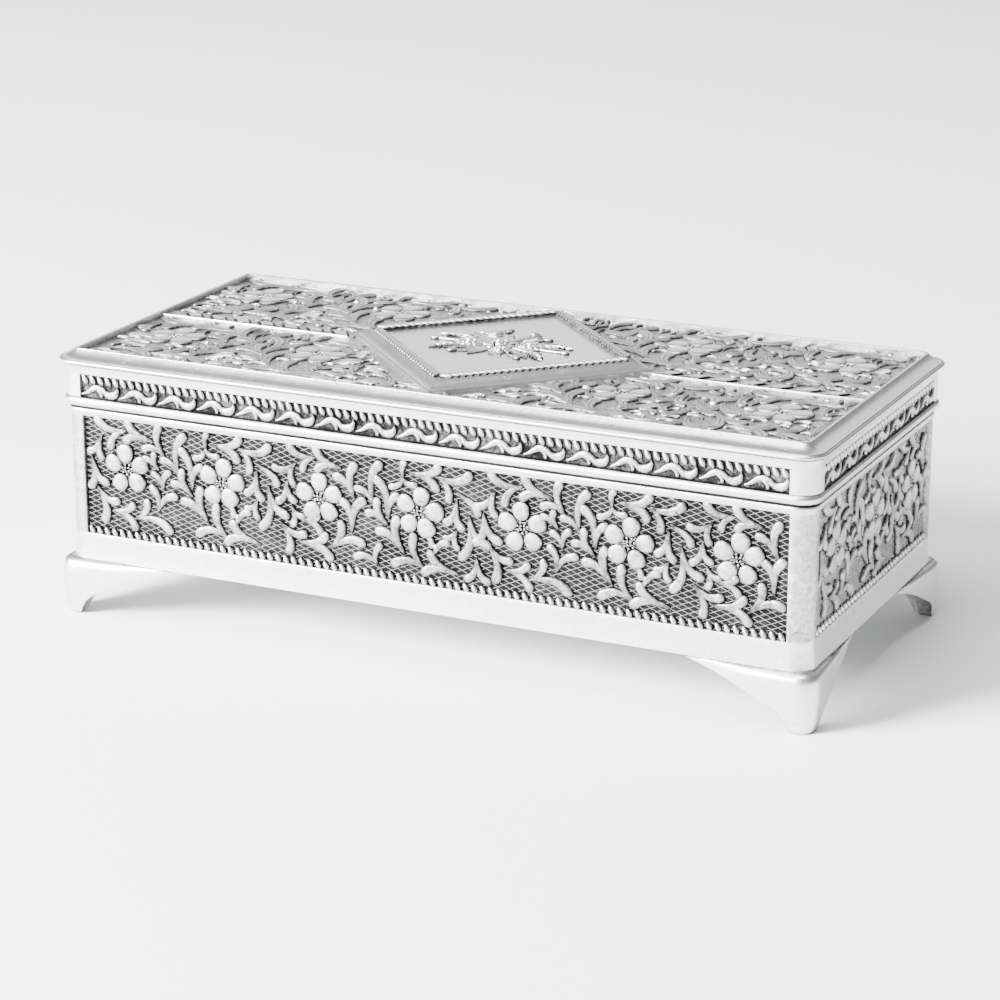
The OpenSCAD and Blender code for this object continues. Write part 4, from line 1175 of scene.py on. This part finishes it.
class KEEPSAKE_OT_linings(bpy.types.Operator):
    """Makes the velvet pads of the floor, the walls and the lid"""
    bl_idname = "keepsake.linings"
    bl_label = "Linings"
    bl_options = {"REGISTER", "UNDO"}

    def execute(self, context):
        pads = {"floor_lining": ((1, 0, 0), (0, 1, 0)), "front_lining": ((-1, 0, 0), (0, 0, 1)),
                "right_lining": ((0, -1, 0), (0, 0, 1)), "back_lining": ((1, 0, 0), (0, 0, 1)),
                "left_lining": ((0, 1, 0), (0, 0, 1)), "lid_lining": ((1, 0, 0), (0, -1, 0))}
        gap = 0.3
        for node, (along, up) in pads.items():
            notches = []
            if node == "back_lining":
                middle_z = sum(box[2] for box in node_box(node)) / 2
                for end in ("left", "right"):
                    low, high = node_box(f"hinge_{end}_body_leaf")
                    notches.append((low[0] - gap, high[0] + gap, low[2] - gap - middle_z))
            mesh = pad_mesh(node + "_velvet", node, along, up, notches)
            body = "lid" if node == "lid_lining" else "case"
            made = piece(node + "_velvet", mesh, body, "velvet", shared(velvet), node)
        return {"FINISHED"}


class KEEPSAKE_OT_sheet_metal(bpy.types.Operator):
    """Finishes the hinges, their rivets and the floor plate"""
    bl_idname = "keepsake.sheet_metal"
    bl_label = "Hinges and Floor Plate"
    bl_options = {"REGISTER", "UNDO"}

    def execute(self, context):
        for name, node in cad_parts.items():
            if "hinge" in name or name == "floor_plate":
                for place in node.material_slots:
                    place.material = shared(plated_steel)
                node.data.shade_smooth()
                node.data.set_sharp_from_angle(angle=math.radians(SHEET_ANGLE))
        return {"FINISHED"}


class KEEPSAKE_OT_stage(bpy.types.Operator):
    """Lays the pale floor and sets the soft lights and the camera"""
    bl_idname = "keepsake.stage"
    bl_label = "Stage"
    bl_options = {"REGISTER", "UNDO"}

    def execute(self, context):
        scene = context.scene
        plane = bpy.data.meshes.new("floor")
        reach = FLOOR_REACH
        corners = [(-reach, -reach, 0), (reach, -reach, 0), (reach, reach, 0), (-reach, reach, 0)]
        plane.from_pydata(corners, [], [(0, 1, 2, 3)])
        floor = bpy.data.objects.new("floor", plane)
        floor.location.z = -FLOOR_DROP
        scene.collection.objects.link(floor)
        plane.materials.append(shared(pale_paper))
        scene.world = bpy.data.worlds.new("studio")
        scene.world.use_nodes = True
        sky = scene.world.node_tree.nodes["Background"]
        sky.inputs["Color"].default_value = (1, 1, 1, 1)
        sky.inputs["Strength"].default_value = SKY_STRENGTH
        for name, (place, size, power) in LIGHTS.items():
            lamp = bpy.data.lights.new(name, "AREA")
            lamp.size, lamp.energy = size, power
            holder = bpy.data.objects.new(name, lamp)
            holder.location = place
            holder.rotation_euler = (-holder.location).to_track_quat("-Z", "Y").to_euler()
            scene.collection.objects.link(holder)
        camera_data = bpy.data.cameras.new("camera")
        camera_data.sensor_width, camera_data.lens = SENSOR_W, LENS
        camera = bpy.data.objects.new("camera", camera_data)
        x, y, z = CAMERA_PLACE
        camera.location = (x, y + posts()[2] * MM, z)
        camera.rotation_euler = (math.radians(90 - CAMERA_PITCH), 0, math.radians(CAMERA_YAW))
        scene.collection.objects.link(camera)
        scene.camera = camera
        return {"FINISHED"}


STEPS = (KEEPSAKE_OT_stage, KEEPSAKE_OT_walls, KEEPSAKE_OT_feet, KEEPSAKE_OT_rails,
         KEEPSAKE_OT_lid_plate, KEEPSAKE_OT_plaque, KEEPSAKE_OT_linings, KEEPSAKE_OT_sheet_metal)


class KEEPSAKE_PT_panel(bpy.types.Panel):
    """Lists the steps and the sizes"""
    bl_label = "Keepsake Box"
    bl_idname = "KEEPSAKE_PT_panel"
    bl_space_type = "VIEW_3D"
    bl_region_type = "UI"
    bl_category = "Keepsake Box"

    def draw(self, context):
        for step in STEPS:
            self.layout.operator(step.bl_idname)
        for group in GROUPS:
            owner = getattr(context.scene, "keepsake_" + group)
            box = self.layout.box()
            box.label(text=group.capitalize())
            for key in owner.__annotations__:
                box.prop(owner, key)


def register():
    for kind in (*GROUPS.values(), *STEPS, KEEPSAKE_PT_panel):
        bpy.utils.register_class(kind)
    for group, kind in GROUPS.items():
        setattr(bpy.types.Scene, "keepsake_" + group, PointerProperty(type=kind))


def unregister():
    for group in GROUPS:
        delattr(bpy.types.Scene, "keepsake_" + group)
    for kind in reversed((*GROUPS.values(), *STEPS, KEEPSAKE_PT_panel)):
        bpy.utils.unregister_class(kind)


def main():
    register()
    for step in STEPS:
        family, name = step.bl_idname.split(".")
        getattr(getattr(bpy.ops, family), name)()


if __name__ == "__main__":
    main()
